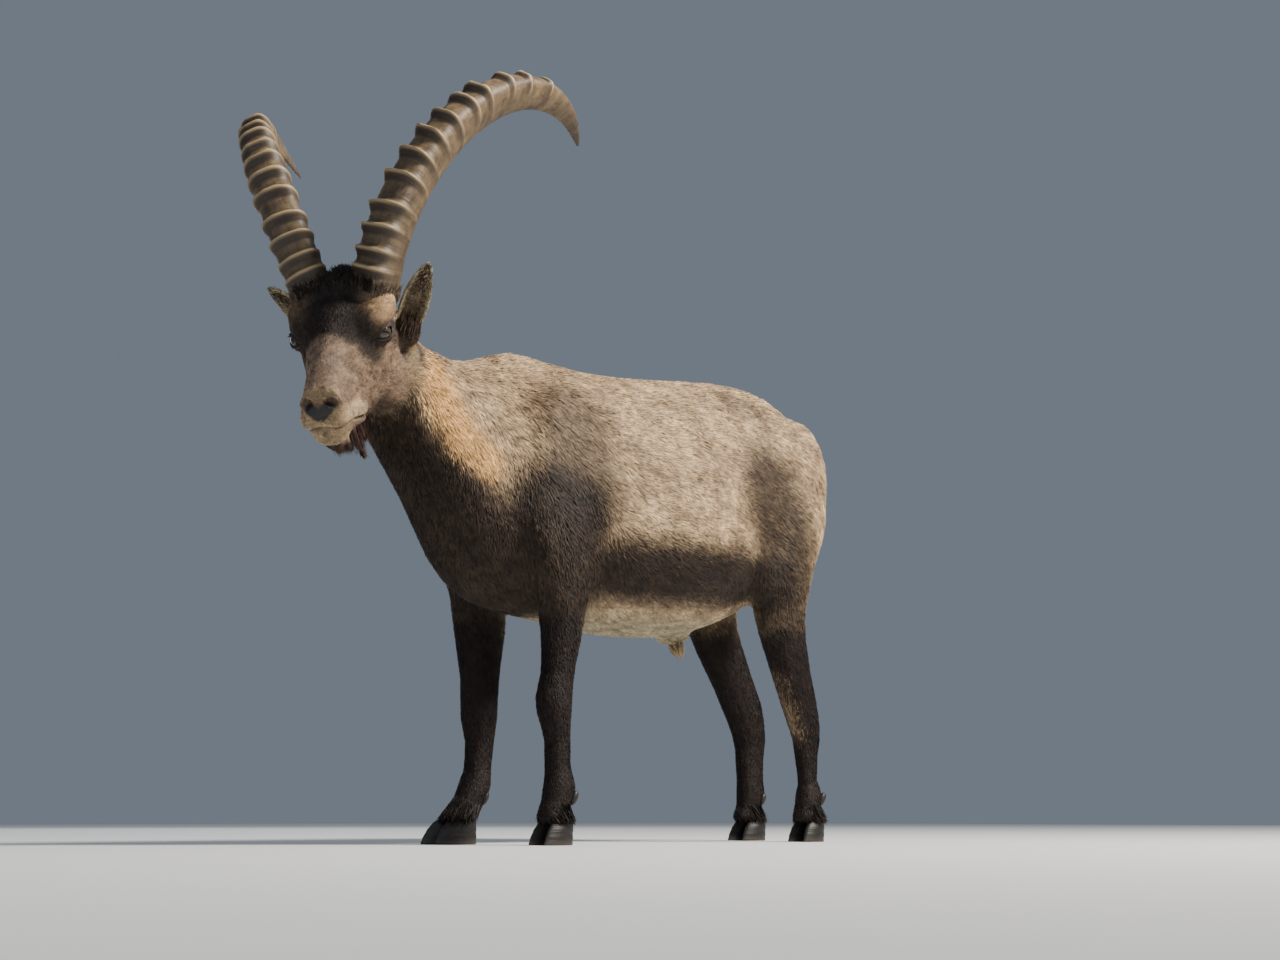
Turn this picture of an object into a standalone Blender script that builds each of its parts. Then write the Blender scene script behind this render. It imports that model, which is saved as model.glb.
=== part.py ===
"""Life-size standing model of an adult male alpine ibex in its short summer coat.

Metres, +Z up. The animal faces -Y and its own left is +X. Its hooves stand on Z = 0.
The flesh is lofted along the spine, the legs and the face, fused, softened, and parted with thin cuts.
"""

import bmesh
import bpy
import math
import numpy as np
from mathutils import Matrix, Vector
from mathutils.bvhtree import BVHTree

GAP = 0.0003

# How far the animal is moved so that the middle of its footprint and horns stands over the origin
SHIFT = Vector((0.1765, 0.2002, 0.0))

# Driving sizes of the animal
HORN_LENGTH = 0.862
EYE_RADIUS = 0.0180

# Where the head is held: the forehead between the horns, then its turn, dip and tilt
POLL = Vector((0.029, -0.767, 0.953))
HEAD_YAW = math.radians(36.0)
HORNS_YAW = math.radians(34.0)
HEAD_PITCH = math.radians(47.0)
HEAD_ROLL = math.radians(4.0)

# How fine the fused flesh is, how many rounds soften it, and how few triangles keep its form
SKIN_STEP = 0.0038
SOFTEN_BODY = 150
SOFTEN_HEAD = 16
FLESH_TRIANGLES = 4300

SIDES = {"left": 1, "right": -1}


# General shapes

def remove_startup_objects():
    for thing in list(bpy.data.objects):
        bpy.data.objects.remove(thing)


def collection_named(name, parent, helpers=False):
    made = bpy.data.collections.new(name)
    parent.children.link(made)
    made.hide_render = helpers
    return made


def catmull(a, b, c, d, t):
    """The point at t between b and c of the smooth curve through a, b, c and d."""
    bend = 2 * a - 5 * b + 4 * c - d
    turn = 3 * b - a - 3 * c + d
    return 0.5 * (2 * b + (c - a) * t + bend * t * t + turn * t ** 3)


def resampled(rows, steps):
    """Rows of numbers, read smoothly at steps places between each pair."""
    rows = np.array(rows, float)
    ends = np.vstack([2 * rows[0] - rows[1], rows, 2 * rows[-1] - rows[-2]])
    out = []
    for i in range(len(rows) - 1):
        for k in range(steps):
            out.append(catmull(*ends[i:i + 4], k / steps))
    out.append(rows[-1])
    return out


def mesh_object(name, points, faces, home):
    mesh = bpy.data.meshes.new(name)
    mesh.from_pydata([tuple(p) for p in points], [], faces)
    built = bmesh.new()
    built.from_mesh(mesh)
    bmesh.ops.recalc_face_normals(built, faces=built.faces)
    built.to_mesh(mesh)
    built.free()
    thing = bpy.data.objects.new(name, mesh)
    home.objects.link(thing)
    return thing


def section(centre, side, up, half_width, rise, drop, narrow_up=1.0, narrow_down=1.0, count=28):
    """One closed outline. Over 1, narrow thins it towards the top or bottom, and under 1 it squares it."""
    ring = []
    for k in range(count):
        turn = 2 * math.pi * (k + 0.5) / count
        c, s = math.cos(turn), math.sin(turn)
        narrow = narrow_up if s > 0 else narrow_down
        across = math.copysign(abs(c) ** narrow, c) * half_width
        along = math.copysign(abs(s) ** min(1.0, 1 / narrow), s) * (rise if s > 0 else drop)
        ring.append(centre + side * across + up * along)
    return ring


def loft(name, rings, home):
    """A closed skin over outlines of equal count."""
    count = len(rings[0])
    points = [p for ring in rings for p in ring]
    faces = [list(range(count))[::-1], [len(points) - count + k for k in range(count)]]
    for r in range(len(rings) - 1):
        for k in range(count):
            nxt = (k + 1) % count
            a, b, c, d = r * count + k, r * count + nxt, (r + 1) * count + nxt, (r + 1) * count + k
            faces += [[a, b, c], [a, c, d]]
    return mesh_object(name, points, faces, home)


def limb(name, joints, home, steps=4, count=20):
    """A tube through joints of (x, y, z, half thickness across, half thickness fore and aft)."""
    rows = resampled(joints, steps)
    rings = []
    for i, row in enumerate(rows):
        ahead = Vector(rows[min(i + 1, len(rows) - 1)][:3]) - Vector(rows[max(i - 1, 0)][:3])
        ahead.normalize()
        side = Vector((1, 0, 0))
        side = (side - ahead * side.dot(ahead)).normalized()
        rings.append(section(Vector(row[:3]), side, ahead.cross(side), row[3], row[4], row[4], count=count))
    return loft(name, rings, home)


def ball(name, centre, radii, home, turn=Matrix.Identity(3), around=20, along=12):
    """A muscle or a joint as an ellipsoid, its own axes given by the columns of turn."""
    built = bmesh.new()
    bmesh.ops.create_uvsphere(built, u_segments=around, v_segments=along, radius=1)
    built.transform(Matrix.Translation(centre) @ turn.to_4x4() @ Matrix.Diagonal((*radii, 1)))
    mesh = bpy.data.meshes.new(name)
    bmesh.ops.recalc_face_normals(built, faces=built.faces)
    built.to_mesh(mesh)
    built.free()
    thing = bpy.data.objects.new(name, mesh)
    home.objects.link(thing)
    return thing


def turned(x=0.0, y=0.0, z=0.0):
    """A turn by degrees about X, then Y, then Z."""
    return (Matrix.Rotation(math.radians(z), 3, "Z") @ Matrix.Rotation(math.radians(y), 3, "Y")
            @ Matrix.Rotation(math.radians(x), 3, "X"))


def plate(name, centre, normal, across, half_wide, half_tall, home):
    """A cut as thin as the gap between two parts, square to normal."""
    normal = normal.normalized()
    wide = (across - normal * across.dot(normal)).normalized()
    tall = normal.cross(wide)
    corners = []
    for n in (-GAP / 2, GAP / 2):
        for a, b in ((-1, -1), (1, -1), (1, 1), (-1, 1)):
            corners.append(centre + normal * n + wide * half_wide * a + tall * half_tall * b)
    faces = [(0, 3, 2, 1), (4, 5, 6, 7), (0, 1, 5, 4), (1, 2, 6, 5), (2, 3, 7, 6), (3, 0, 4, 7)]
    return mesh_object(name, corners, faces, home)


def apply_modifiers(thing):
    graph = bpy.context.evaluated_depsgraph_get()
    graph.update()
    done = bpy.data.meshes.new_from_object(thing.evaluated_get(graph))
    thing.modifiers.clear()
    old = thing.data
    thing.data = done
    bpy.data.meshes.remove(old)


def boolean(thing, home, operation):
    """Join or cut with everything in the collection home, then clear it."""
    step = thing.modifiers.new(operation.lower(), "BOOLEAN")
    step.operation = operation
    step.operand_type = "COLLECTION"
    step.collection = home
    step.solver = "MANIFOLD"
    apply_modifiers(thing)
    for other in list(home.objects):
        bpy.data.objects.remove(other)


def points_of(thing):
    flat = np.empty(len(thing.data.vertices) * 3)
    thing.data.vertices.foreach_get("co", flat)
    return flat.reshape(-1, 3)


def normals_of(thing):
    flat = np.empty(len(thing.data.vertices) * 3)
    thing.data.vertices.foreach_get("normal", flat)
    return flat.reshape(-1, 3)


def move_points(thing, points):
    thing.data.vertices.foreach_set("co", points.reshape(-1))
    thing.data.update()


def soften(thing, rounds, weights, blend=0):
    """Relax the surface, where weights lets it, without shrinking it. The blend rounds fill its creases."""
    pairs = np.empty(len(thing.data.edges) * 2, int)
    thing.data.edges.foreach_get("vertices", pairs)
    a, b = pairs.reshape(-1, 2).T
    points = points_of(thing)
    total = len(points)
    near = np.bincount(a, minlength=total) + np.bincount(b, minlength=total)
    for k in range(blend + rounds * 2):
        share = (0.60 if k < blend or (k - blend) % 2 == 0 else -0.612) * weights
        for axis in range(3):
            column = points[:, axis]
            around = np.bincount(a, column[b], total) + np.bincount(b, column[a], total)
            points[:, axis] = column + share * (around / near - column)
    move_points(thing, points)


def distance_to_line(points, line):
    """Each point's distance to a line through several places."""
    best = np.full(len(points), 9.0)
    for start, end in zip(line[:-1], line[1:]):
        start, end = np.array(start), np.array(end)
        along = end - start
        share = np.clip((points - start) @ along / max(along @ along, 1e-12), 0, 1)
        best = np.minimum(best, np.linalg.norm(points - start - share[:, None] * along, axis=1))
    return best


def stroke(thing, line, reach, height):
    """Raise the surface near a line through several places, or press it in for a height under 0."""
    points = points_of(thing)
    near = distance_to_line(points, [tuple(p) for p in line]) / reach
    swell = np.where(near < 1, (1 - near ** 2) ** 2, 0)
    move_points(thing, points + normals_of(thing) * (swell * height)[:, None])


# Head axes, shared by the face, the eyes, the ears and the horns

def head_axes(yaw):
    """Left, forward along the face, and up from the forehead, as the head is held."""
    cy, sy = math.cos(yaw), math.sin(yaw)
    cp, sp = math.cos(HEAD_PITCH), math.sin(HEAD_PITCH)
    forward = Vector((sy * cp, -cy * cp, -sp))
    left = Vector((cy, sy, 0))
    up = left.cross(forward)
    up = up if up.z > 0 else -up
    level, lean = math.cos(HEAD_ROLL), math.sin(HEAD_ROLL)
    return left * level + up * lean, forward, up * level - left * lean


HEAD_LEFT, HEAD_FORWARD, HEAD_UP = head_axes(HEAD_YAW)
HEAD_TURN = Matrix((HEAD_LEFT, HEAD_FORWARD, HEAD_UP)).transposed()
HORNS_TURN = Matrix(head_axes(HORNS_YAW)).transposed()


def head_way(left, forward, up):
    return HEAD_TURN @ Vector((left, forward, up))


def on_head(left, forward, up):
    """A place on the head, from the forehead between the horns."""
    return POLL + head_way(left, forward, up)


# Trunk and neck, in the middle plane from the rump to the nape: how far it swings to the left, top y,
# top z, bottom y, bottom z, half width, height of the widest place, and how it narrows up and down
SPINE = [
    (0.000, 0.412, 0.775, 0.425, 0.660, 0.040, 0.50, 1.0, 1.0),
    (0.000, 0.392, 0.818, 0.405, 0.600, 0.088, 0.50, 1.0, 0.9),
    (0.000, 0.348, 0.858, 0.360, 0.530, 0.128, 0.50, 1.1, 0.9),
    (0.000, 0.280, 0.900, 0.285, 0.478, 0.152, 0.48, 1.15, 0.9),
    (0.000, 0.190, 0.908, 0.190, 0.432, 0.166, 0.45, 1.15, 0.95),
    (0.000, 0.100, 0.902, 0.100, 0.402, 0.182, 0.42, 1.1, 1.0),
    (0.000, 0.000, 0.892, 0.000, 0.388, 0.191, 0.42, 1.1, 1.0),
    (0.000, -0.100, 0.885, -0.100, 0.386, 0.189, 0.43, 1.15, 1.0),
    (0.000, -0.200, 0.884, -0.200, 0.394, 0.174, 0.45, 1.25, 1.0),
    (0.000, -0.290, 0.892, -0.290, 0.406, 0.150, 0.47, 1.35, 1.0),
    (0.000, -0.362, 0.897, -0.372, 0.416, 0.130, 0.45, 1.4, 1.0),
    (0.000, -0.415, 0.884, -0.436, 0.432, 0.118, 0.45, 1.3, 1.0),
    (0.000, -0.465, 0.869, -0.490, 0.468, 0.106, 0.45, 1.2, 1.0),
    (0.000, -0.515, 0.866, -0.530, 0.525, 0.096, 0.47, 1.1, 1.0),
    (-0.004, -0.565, 0.880, -0.570, 0.590, 0.088, 0.50, 1.05, 1.0),
    (-0.014, -0.610, 0.905, -0.608, 0.650, 0.080, 0.52, 1.0, 1.0),
    (-0.028, -0.650, 0.938, -0.640, 0.710, 0.073, 0.54, 1.0, 1.0),
    (-0.044, -0.680, 0.960, -0.660, 0.775, 0.066, 0.55, 1.0, 1.0),
]


def trunk_and_neck(home):
    rings = []
    for swing, top_y, top_z, low_y, low_z, width, widest, narrow_up, narrow_down in resampled(SPINE, 4):
        top = Vector((swing, top_y, top_z))
        low = Vector((swing, low_y, low_z))
        middle = low.lerp(top, widest)
        rings.append(section(middle, Vector((1, 0, 0)), (top - low).normalized(), width,
                             (top - middle).length, (middle - low).length, narrow_up, narrow_down, 32))
    loft("trunk", rings, home)


# Face, from the back of the skull to the lips: forward, top, bottom, half width, height of the widest
# place, and how it narrows up and down
FACE = [
    (-0.085, -0.060, -0.130, 0.040, 0.50, 1.0, 1.0),
    (-0.055, -0.028, -0.196, 0.062, 0.58, 1.0, 0.95),
    (-0.005, -0.006, -0.230, 0.072, 0.62, 0.9, 0.9),
    (0.045, 0.003, -0.226, 0.076, 0.64, 0.85, 0.95),
    (0.088, 0.000, -0.209, 0.071, 0.58, 1.0, 1.0),
    (0.130, -0.008, -0.194, 0.056, 0.48, 1.4, 0.95),
    (0.172, -0.018, -0.177, 0.045, 0.41, 1.5, 0.85),
    (0.205, -0.026, -0.165, 0.043, 0.44, 1.2, 0.87),
    (0.230, -0.036, -0.155, 0.041, 0.48, 0.95, 0.9),
    (0.249, -0.050, -0.136, 0.038, 0.46, 0.9, 0.95),
    (0.265, -0.074, -0.116, 0.028, 0.46, 1.0, 1.0),
]


def face(home):
    rings = []
    for forward, top, low, width, widest, narrow_up, narrow_down in resampled(FACE, 4):
        middle = low + (top - low) * widest
        rings.append(section(on_head(0, forward, middle), HEAD_LEFT, HEAD_UP, width, top - middle,
                             middle - low, narrow_up, narrow_down, 32))
    loft("face", rings, home)
    ball("nose", on_head(0, 0.236, -0.060), (0.031, 0.021, 0.024), home, HEAD_TURN)
    ball("chin", on_head(0, 0.236, -0.129), (0.034, 0.035, 0.026), home, HEAD_TURN)
    ball("forelock", on_head(0, -0.004, 0.004), (0.032, 0.042, 0.014), home, HEAD_TURN)
    for side, way in SIDES.items():
        ball("cheek_" + side, on_head(way * 0.045, 0.036, -0.172), (0.034, 0.066, 0.063), home, HEAD_TURN)
        ball("lip_corner_" + side, on_head(way * 0.030, 0.190, -0.128), (0.022, 0.034, 0.024), home,
             HEAD_TURN)
        ball("orbit_" + side, on_head(way * 0.050, 0.062, -0.046), (0.037, 0.046, 0.040), home, HEAD_TURN)
        ear_root, ear_along = ear_frame(side, way)[:2]
        ball("ear_root_" + side, ear_root + ear_along * 0.010 + head_way(way * 0.003, 0, 0),
             (0.024, 0.024, 0.024), home)
        ball("lip_" + side, on_head(way * 0.021, 0.238, -0.095), (0.024, 0.035, 0.020), home, HEAD_TURN)
        ball("horn_root_" + side, on_head(way * 0.050, 0.000, -0.016), (0.038, 0.052, 0.034), home,
             HEAD_TURN)
        ball("horn_heel_" + side, on_head(way * 0.054, -0.030, -0.034), (0.032, 0.040, 0.036), home,
             HEAD_TURN)


# Each leg from the body down: y, z, half thickness across, half thickness fore and aft, from the middle
FORELEG = {
    "left": [(-0.345, 0.700, 0.045, 0.080, 0.095), (-0.342, 0.560, 0.054, 0.080, 0.108),
             (-0.324, 0.470, 0.047, 0.062, 0.110), (-0.318, 0.405, 0.038, 0.048, 0.108),
             (-0.325, 0.315, 0.029, 0.034, 0.106), (-0.334, 0.262, 0.031, 0.036, 0.105),
             (-0.332, 0.232, 0.029, 0.033, 0.105), (-0.326, 0.190, 0.024, 0.026, 0.105),
             (-0.324, 0.140, 0.023, 0.025, 0.105), (-0.321, 0.105, 0.028, 0.031, 0.105),
             (-0.328, 0.075, 0.027, 0.028, 0.105), (-0.338, 0.042, 0.030, 0.031, 0.105)],
    "right": [(-0.345, 0.700, 0.045, 0.080, 0.095), (-0.342, 0.560, 0.054, 0.080, 0.108),
              (-0.328, 0.470, 0.047, 0.064, 0.110), (-0.326, 0.405, 0.043, 0.056, 0.108),
              (-0.326, 0.315, 0.034, 0.042, 0.106), (-0.328, 0.262, 0.033, 0.038, 0.105),
              (-0.327, 0.232, 0.033, 0.037, 0.105), (-0.326, 0.190, 0.027, 0.029, 0.105),
              (-0.330, 0.140, 0.025, 0.027, 0.105), (-0.336, 0.105, 0.029, 0.031, 0.106),
              (-0.352, 0.075, 0.027, 0.028, 0.108), (-0.374, 0.044, 0.029, 0.030, 0.112)],
}
HIND_LEG = {
    "left": [(0.310, 0.780, 0.055, 0.080, 0.080), (0.288, 0.660, 0.068, 0.110, 0.100),
             (0.258, 0.540, 0.058, 0.088, 0.112), (0.266, 0.430, 0.042, 0.060, 0.112),
             (0.294, 0.340, 0.034, 0.046, 0.110), (0.324, 0.265, 0.030, 0.041, 0.108),
             (0.340, 0.215, 0.027, 0.034, 0.108), (0.342, 0.170, 0.022, 0.026, 0.108),
             (0.345, 0.120, 0.019, 0.022, 0.108), (0.348, 0.092, 0.025, 0.029, 0.108),
             (0.343, 0.066, 0.025, 0.026, 0.108), (0.336, 0.040, 0.027, 0.028, 0.108)],
    "right": [(0.310, 0.780, 0.055, 0.080, 0.080), (0.300, 0.660, 0.068, 0.110, 0.100),
              (0.288, 0.540, 0.058, 0.090, 0.112), (0.310, 0.430, 0.042, 0.062, 0.112),
              (0.355, 0.340, 0.035, 0.050, 0.110), (0.394, 0.265, 0.033, 0.046, 0.108),
              (0.411, 0.215, 0.030, 0.040, 0.108), (0.412, 0.170, 0.026, 0.034, 0.108),
              (0.413, 0.120, 0.025, 0.032, 0.108), (0.414, 0.092, 0.027, 0.034, 0.108),
              (0.406, 0.066, 0.024, 0.026, 0.108), (0.396, 0.040, 0.028, 0.029, 0.108)],
}


def legs_and_muscles(home):
    for side, way in SIDES.items():
        for kind, table in (("foreleg", FORELEG), ("hind_leg", HIND_LEG)):
            joints = [(way * x, y, z, across, deep) for y, z, across, deep, x in table[side]]
            limb(kind + "_" + side, joints, home)
        ball("shoulder_" + side, (way * 0.080, -0.368, 0.640), (0.056, 0.092, 0.190), home, turned(-14,
                                                                                                   way * 7))
        ball("triceps_" + side, (way * 0.104, -0.290, 0.560), (0.046, 0.070, 0.110), home, turned(18))
        back = HIND_LEG[side][1][0] - 0.288
        ball("haunch_" + side, (way * 0.090, 0.300 + back, 0.690), (0.070, 0.108, 0.155), home, turned(-12))
        ball("stifle_" + side, (way * 0.118, 0.205 + back * 2, 0.525), (0.042, 0.048, 0.080), home,
             turned(20))
        heel = HIND_LEG[side][5]
        ball("hock_" + side, (way * heel[4], heel[0] + 0.030, 0.262), (0.015, 0.014, 0.038), home,
             turned(12))
    ball("sheath", (0, 0.074, 0.392), (0.015, 0.050, 0.015), home, turned(6))
    tail_joints = [(0, 0.380, 0.822, 0.026, 0.022), (0, 0.430, 0.803, 0.025, 0.018),
                   (0, 0.464, 0.760, 0.025, 0.014), (0, 0.474, 0.710, 0.022, 0.011), (0, 0.470, 0.668,
                                                                                      0.010, 0.006)]
    limb("tail", tail_joints, home)


def flesh(home):
    """All of the flesh as one closed surface, softened, with the fine forms drawn in."""
    trunk_and_neck(home)
    face(home)
    legs_and_muscles(home)
    forms = list(home.objects)
    built = bmesh.new()
    for form in forms:
        built.from_mesh(form.data)
        bpy.data.objects.remove(form)
    mesh = bpy.data.meshes.new("flesh")
    built.to_mesh(mesh)
    built.free()
    body = bpy.data.objects.new("flesh", mesh)
    home.objects.link(body)
    fuse = body.modifiers.new("fuse", "REMESH")
    fuse.mode = "VOXEL"
    fuse.voxel_size = SKIN_STEP
    apply_modifiers(body)
    points = points_of(body)
    to_head = np.linalg.norm(points - np.array(on_head(0, 0.09, -0.06)), axis=1)
    head_share = np.clip((0.26 - to_head) / 0.06, 0, 1)
    low_share = np.clip((0.50 - points[:, 2]) / 0.16, 0, 1)
    soften(body, SOFTEN_HEAD, 1 - 0.5 * low_share, 9)
    soften(body, SOFTEN_BODY - SOFTEN_HEAD, (1 - head_share) * (1 - 0.75 * low_share), 20)
    draw_details(body)
    keep = body.vertex_groups.new(name="coarse")
    for rank in range(11):
        chosen = np.nonzero(np.round(head_share * 10) == rank)[0].tolist()
        keep.add(chosen, 1 - 0.08 * rank, "REPLACE")
    body.data.update()
    thin = body.modifiers.new("thin", "DECIMATE")
    thin.ratio = FLESH_TRIANGLES / (2 * len(body.data.polygons))
    thin.vertex_group = "coarse"
    thin.vertex_group_factor = 0.000002
    apply_modifiers(body)
    body.vertex_groups.clear()
    return body


def draw_details(body):
    """The edges of muscles, tendons, lids and lips, raised or pressed into the softened flesh."""
    for side, way in SIDES.items():
        for height, low in ((0.0022, 0.0), (-0.0026, -0.018)):
            lip = [on_head(way * 0.031, 0.198, -0.100 + low), on_head(way * 0.028, 0.232, -0.096 + low),
                   on_head(0, 0.258, -0.090 + low)]
            if height > 0:
                stroke(body, lip, 0.010, height)
        eye = eye_place(way)
        stroke(body, [eye + head_way(way * 0.012, -0.012, 0.020), eye + head_way(way * 0.012, 0.022,
                                                                                 0.016)],
               0.014, 0.0030)
        stroke(body, [eye + head_way(way * 0.004, 0.028, -0.010), eye + head_way(-way * 0.008, 0.062,
                                                                                 -0.020)],
               0.016, -0.0035)
        stroke(body, [on_head(way * 0.052, 0.080, -0.078), on_head(way * 0.040, 0.150, -0.070)], 0.018,
               0.0025)


# Beard: flat locks from the chin back along the jaw, each by its root and tip on the head and its width

BEARD = [
    ((0.002, 0.240, -0.136), (0.003, 0.238, -0.182), 0.034, 0),
    ((0.014, 0.224, -0.138), (0.013, 0.216, -0.197), 0.036, 60),
    ((-0.016, 0.222, -0.138), (-0.012, 0.212, -0.196), 0.036, -60),
    ((0.000, 0.208, -0.142), (-0.002, 0.196, -0.211), 0.040, 15),
    ((0.017, 0.190, -0.146), (0.013, 0.172, -0.228), 0.042, 70),
    ((-0.018, 0.190, -0.146), (-0.010, 0.174, -0.224), 0.042, -70),
    ((0.002, 0.174, -0.150), (0.004, 0.150, -0.242), 0.042, -12),
    ((0.016, 0.160, -0.154), (0.011, 0.132, -0.238), 0.040, 65),
    ((-0.016, 0.158, -0.154), (-0.008, 0.134, -0.236), 0.040, -65),
]


def lock(name, root, tip, width, spin, home):
    """A flat lock of hair, tapered to its tip, bent a little backwards and turned by spin degrees."""
    along = (tip - root).normalized()
    wide = HEAD_LEFT.copy()
    wide.rotate(Matrix.Rotation(math.radians(spin), 3, along))
    wide = (wide - along * wide.dot(along)).normalized()
    deep = along.cross(wide)
    rings = []
    for k in range(6):
        share = k / 5
        middle = root.lerp(tip, share) + head_way(0, 0.06,
                                                  0) * (tip - root).length * math.sin(math.pi * share)
        half = 0.5 * width * (1 - share ** 2.2) + 0.0012
        rings.append(section(middle, wide, deep, half, 0.28 * half + 0.0008, 0.28 * half + 0.0008, count=6))
    return loft(name, rings, home)


def beard(home):
    for k, (root, tip, width, spin) in enumerate(BEARD):
        lock("lock_%d" % k, on_head(*root), on_head(*tip), width, spin, home)


# Mouth and nostrils: a thin slit along the lips, and two slanted pits

MOUTH = [(0.047, 0.176, -0.138), (0.048, 0.200, -0.131), (0.046, 0.230, -0.118), (0.037, 0.260, -0.103),
         (0.018, 0.280, -0.093), (0.0, 0.286, -0.090)]


def mouth_and_nostrils(body, cutters):
    line = MOUTH + [(-left, forward, up) for left, forward, up in MOUTH[-2::-1]]
    rings = []
    for left, forward, up in resampled(line, 2):
        out = on_head(left, forward, up)
        deep = on_head(left * 0.62, 0.176 + (forward - 0.176) * 0.80, up - 0.001)
        rings.append([out + HEAD_UP * 0.0026, deep + HEAD_UP * 0.0004,
                      deep - HEAD_UP * 0.0004, out - HEAD_UP * 0.0026])
    loft("mouth", rings, cutters)
    surface = BVHTree.FromPolygons([vert.co for vert in body.data.vertices],
                                   [tuple(face.vertices) for face in body.data.polygons])
    for side, way in SIDES.items():
        turn = HEAD_TURN @ turned(0, way * 28, -way * 34)
        ahead = on_head(way * 0.0190, 0.40, -0.0650)
        front = surface.ray_cast(ahead, -HEAD_FORWARD)[0]
        ball("nostril_" + side, front - HEAD_FORWARD * 0.005, (0.0090, 0.0150, 0.0058), cutters, turn,
             12, 8)


# Eyes

def eye_place(way):
    return on_head(way * 0.0715, 0.069, -0.0575)


def eye_axis(way):
    return head_way(way * 0.88, 0.40, 0.10).normalized()


def eyes(body, cutters, home, keep):
    for side, way in SIDES.items():
        centre, out = eye_place(way), eye_axis(way)
        along = (HEAD_FORWARD - out * HEAD_FORWARD.dot(out)).normalized()
        along = (along - out.cross(along) * way * 0.18).normalized()
        high = out.cross(along)
        almond = []
        for depth, grow in ((0.004, 0.55), (0.030, 1.35)):
            ring = []
            for k in range(20):
                turn = 2 * math.pi * k / 20
                c, s = math.cos(turn), math.sin(turn)
                ring.append(centre + out * depth + along * 0.0180 * grow * c
                            + high * 0.0098 * grow * math.copysign(abs(s) ** 1.25, s))
            almond.append(ring)
        loft("almond_" + side, almond, cutters)
        ball("eye_socket_" + side, centre, (EYE_RADIUS + GAP,) * 3, cutters, around=24, along=16)
        ball("eye_" + side, centre, (EYE_RADIUS,) * 3, keep, around=18, along=10)
    boolean(body, cutters, "DIFFERENCE")


# Horns: how far each stands from the middle, the way it leaves the head, and how it curves back and out
HORNS = {
    "left": {"spread": 0.057, "rise": 52.6, "lean": 15.6, "fan": 25.6,
             "curve": (2.66, -1.35, 2.05), "twist": -0.58},
    "right": {"spread": 0.055, "rise": 47.4, "lean": 19.4, "fan": 15.1,
              "curve": (2.63, -1.73, 1.57), "twist": -0.21},
}


# Knobs of a horn: how far along it each one's crest stands, and how high
HORN_KNOBS = [
    (0.032, 0.0070), (0.062, 0.0100), (0.105, 0.0120), (0.150, 0.0130), (0.214, 0.0135), (0.268, 0.0135),
    (0.323, 0.0132), (0.376, 0.0128), (0.435, 0.0122), (0.483, 0.0115), (0.570, 0.0100), (0.641, 0.0070),
    (0.731, 0.0050),
]


def horn_path(side, way, count):
    """Places along a horn, each with its own way along, way back and way out, in head sizes."""
    shape = HORNS[side]
    rise, lean, fan = (math.radians(shape[word]) for word in ("rise", "lean", "fan"))
    ahead = Vector((0, -math.cos(rise), math.sin(rise)))
    back = Vector((0, -math.sin(rise), -math.cos(rise)))
    out = Vector((1, 0, 0))
    ahead, out = (ahead * math.cos(lean) + out * math.sin(lean) * way,
                  out * math.cos(lean) - ahead * math.sin(lean) * way)
    back, out = (back * math.cos(fan) + out * way * math.sin(fan),
                 out * math.cos(fan) - back * way * math.sin(fan))
    place = Vector((shape["spread"] * way, 0, 0))
    step = HORN_LENGTH / (count - 1)
    found = []
    for k in range(count):
        found.append((k / (count - 1), place.copy(), ahead.copy(), back.copy(), out.copy()))
        share = k / (count - 1)
        bend = (shape["curve"][0] + shape["curve"][1] * share + shape["curve"][2] * share * share) * step
        ahead, back = (ahead * math.cos(bend) + back * math.sin(bend),
                       back * math.cos(bend) - ahead * math.sin(bend))
        twist = shape["twist"] * step * way
        back, out = (back * math.cos(twist) + out * math.sin(twist),
                     out * math.cos(twist) - back * math.sin(twist))
        place = place + ahead * step
    return found


def horn_outline(share, place, ahead, back, out, way, knob, grow, count=14):
    """A horn's outline: a broad flat front that carries the knobs, and a narrower rounded back."""
    thin = (1 - share ** 2.6) ** 0.75
    front = 0.025 * thin + 0.002
    rear = 0.058 * thin + 0.002
    wide = 0.033 * (1 - share ** 1.8) ** 0.9 + 0.002
    ring = []
    for k in range(count):
        turn = 2 * math.pi * (k + 0.5) / count
        c, s = math.cos(turn), math.sin(turn)
        deep = -front * abs(s) ** 0.72 if s > 0 else rear * abs(s) ** 0.9
        across = wide * math.copysign(abs(c) ** 0.8, c) * (1 if s > 0 else 1 - 0.30 * abs(s))
        facing = max(0.0, s) ** 0.8
        deep -= knob * facing
        across += math.copysign(knob * 0.38 * (1 - abs(s)) + knob * 0.30 * facing, c)
        ring.append(place + back * deep + out * across)
    centre = sum(ring, Vector()) / count
    return [p + (p - centre).normalized() * grow for p in ring]


def horn(name, side, way, grow, home):
    """Outlines from a root in the skull to the tip, with a sharp crest and a slow slope for each knob."""
    path = horn_path(side, way, 400)
    rings = []
    root = path[0]
    for depth in (0.030 + grow, 0.0):
        rings.append(horn_outline(0.0, root[1] - root[2] * depth, *root[2:], way, 0.0, grow))
    marks = []
    for crest, high in HORN_KNOBS:
        before = 0.016 if crest > 0.08 else 0.010
        marks += [(crest - before, 0.0), (crest, high), (crest + 0.011, high * 0.10)]
    marks += [(0.79, 0.0), (0.85, 0.0), (0.90, 0.001), (0.94, 0.0), (0.97, 0.0), (0.990, 0.0), (0.9985, 0.0)]
    for share, knob in marks:
        at = path[min(399, round(share * 399))]
        rings.append(horn_outline(share, *at[1:], way, knob, grow))
    rings = [[POLL + HORNS_TURN @ p for p in ring] for ring in rings]
    return loft(name, rings, home)


def horns(body, cutters, keep):
    for side, way in SIDES.items():
        horn("horn_seat_" + side, side, way, GAP, cutters)
    boolean(body, cutters, "DIFFERENCE")
    for side, way in SIDES.items():
        horn("horn_" + side, side, way, 0.0, keep)


# Ears: cupped leaves, the left held up and the right held out

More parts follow.
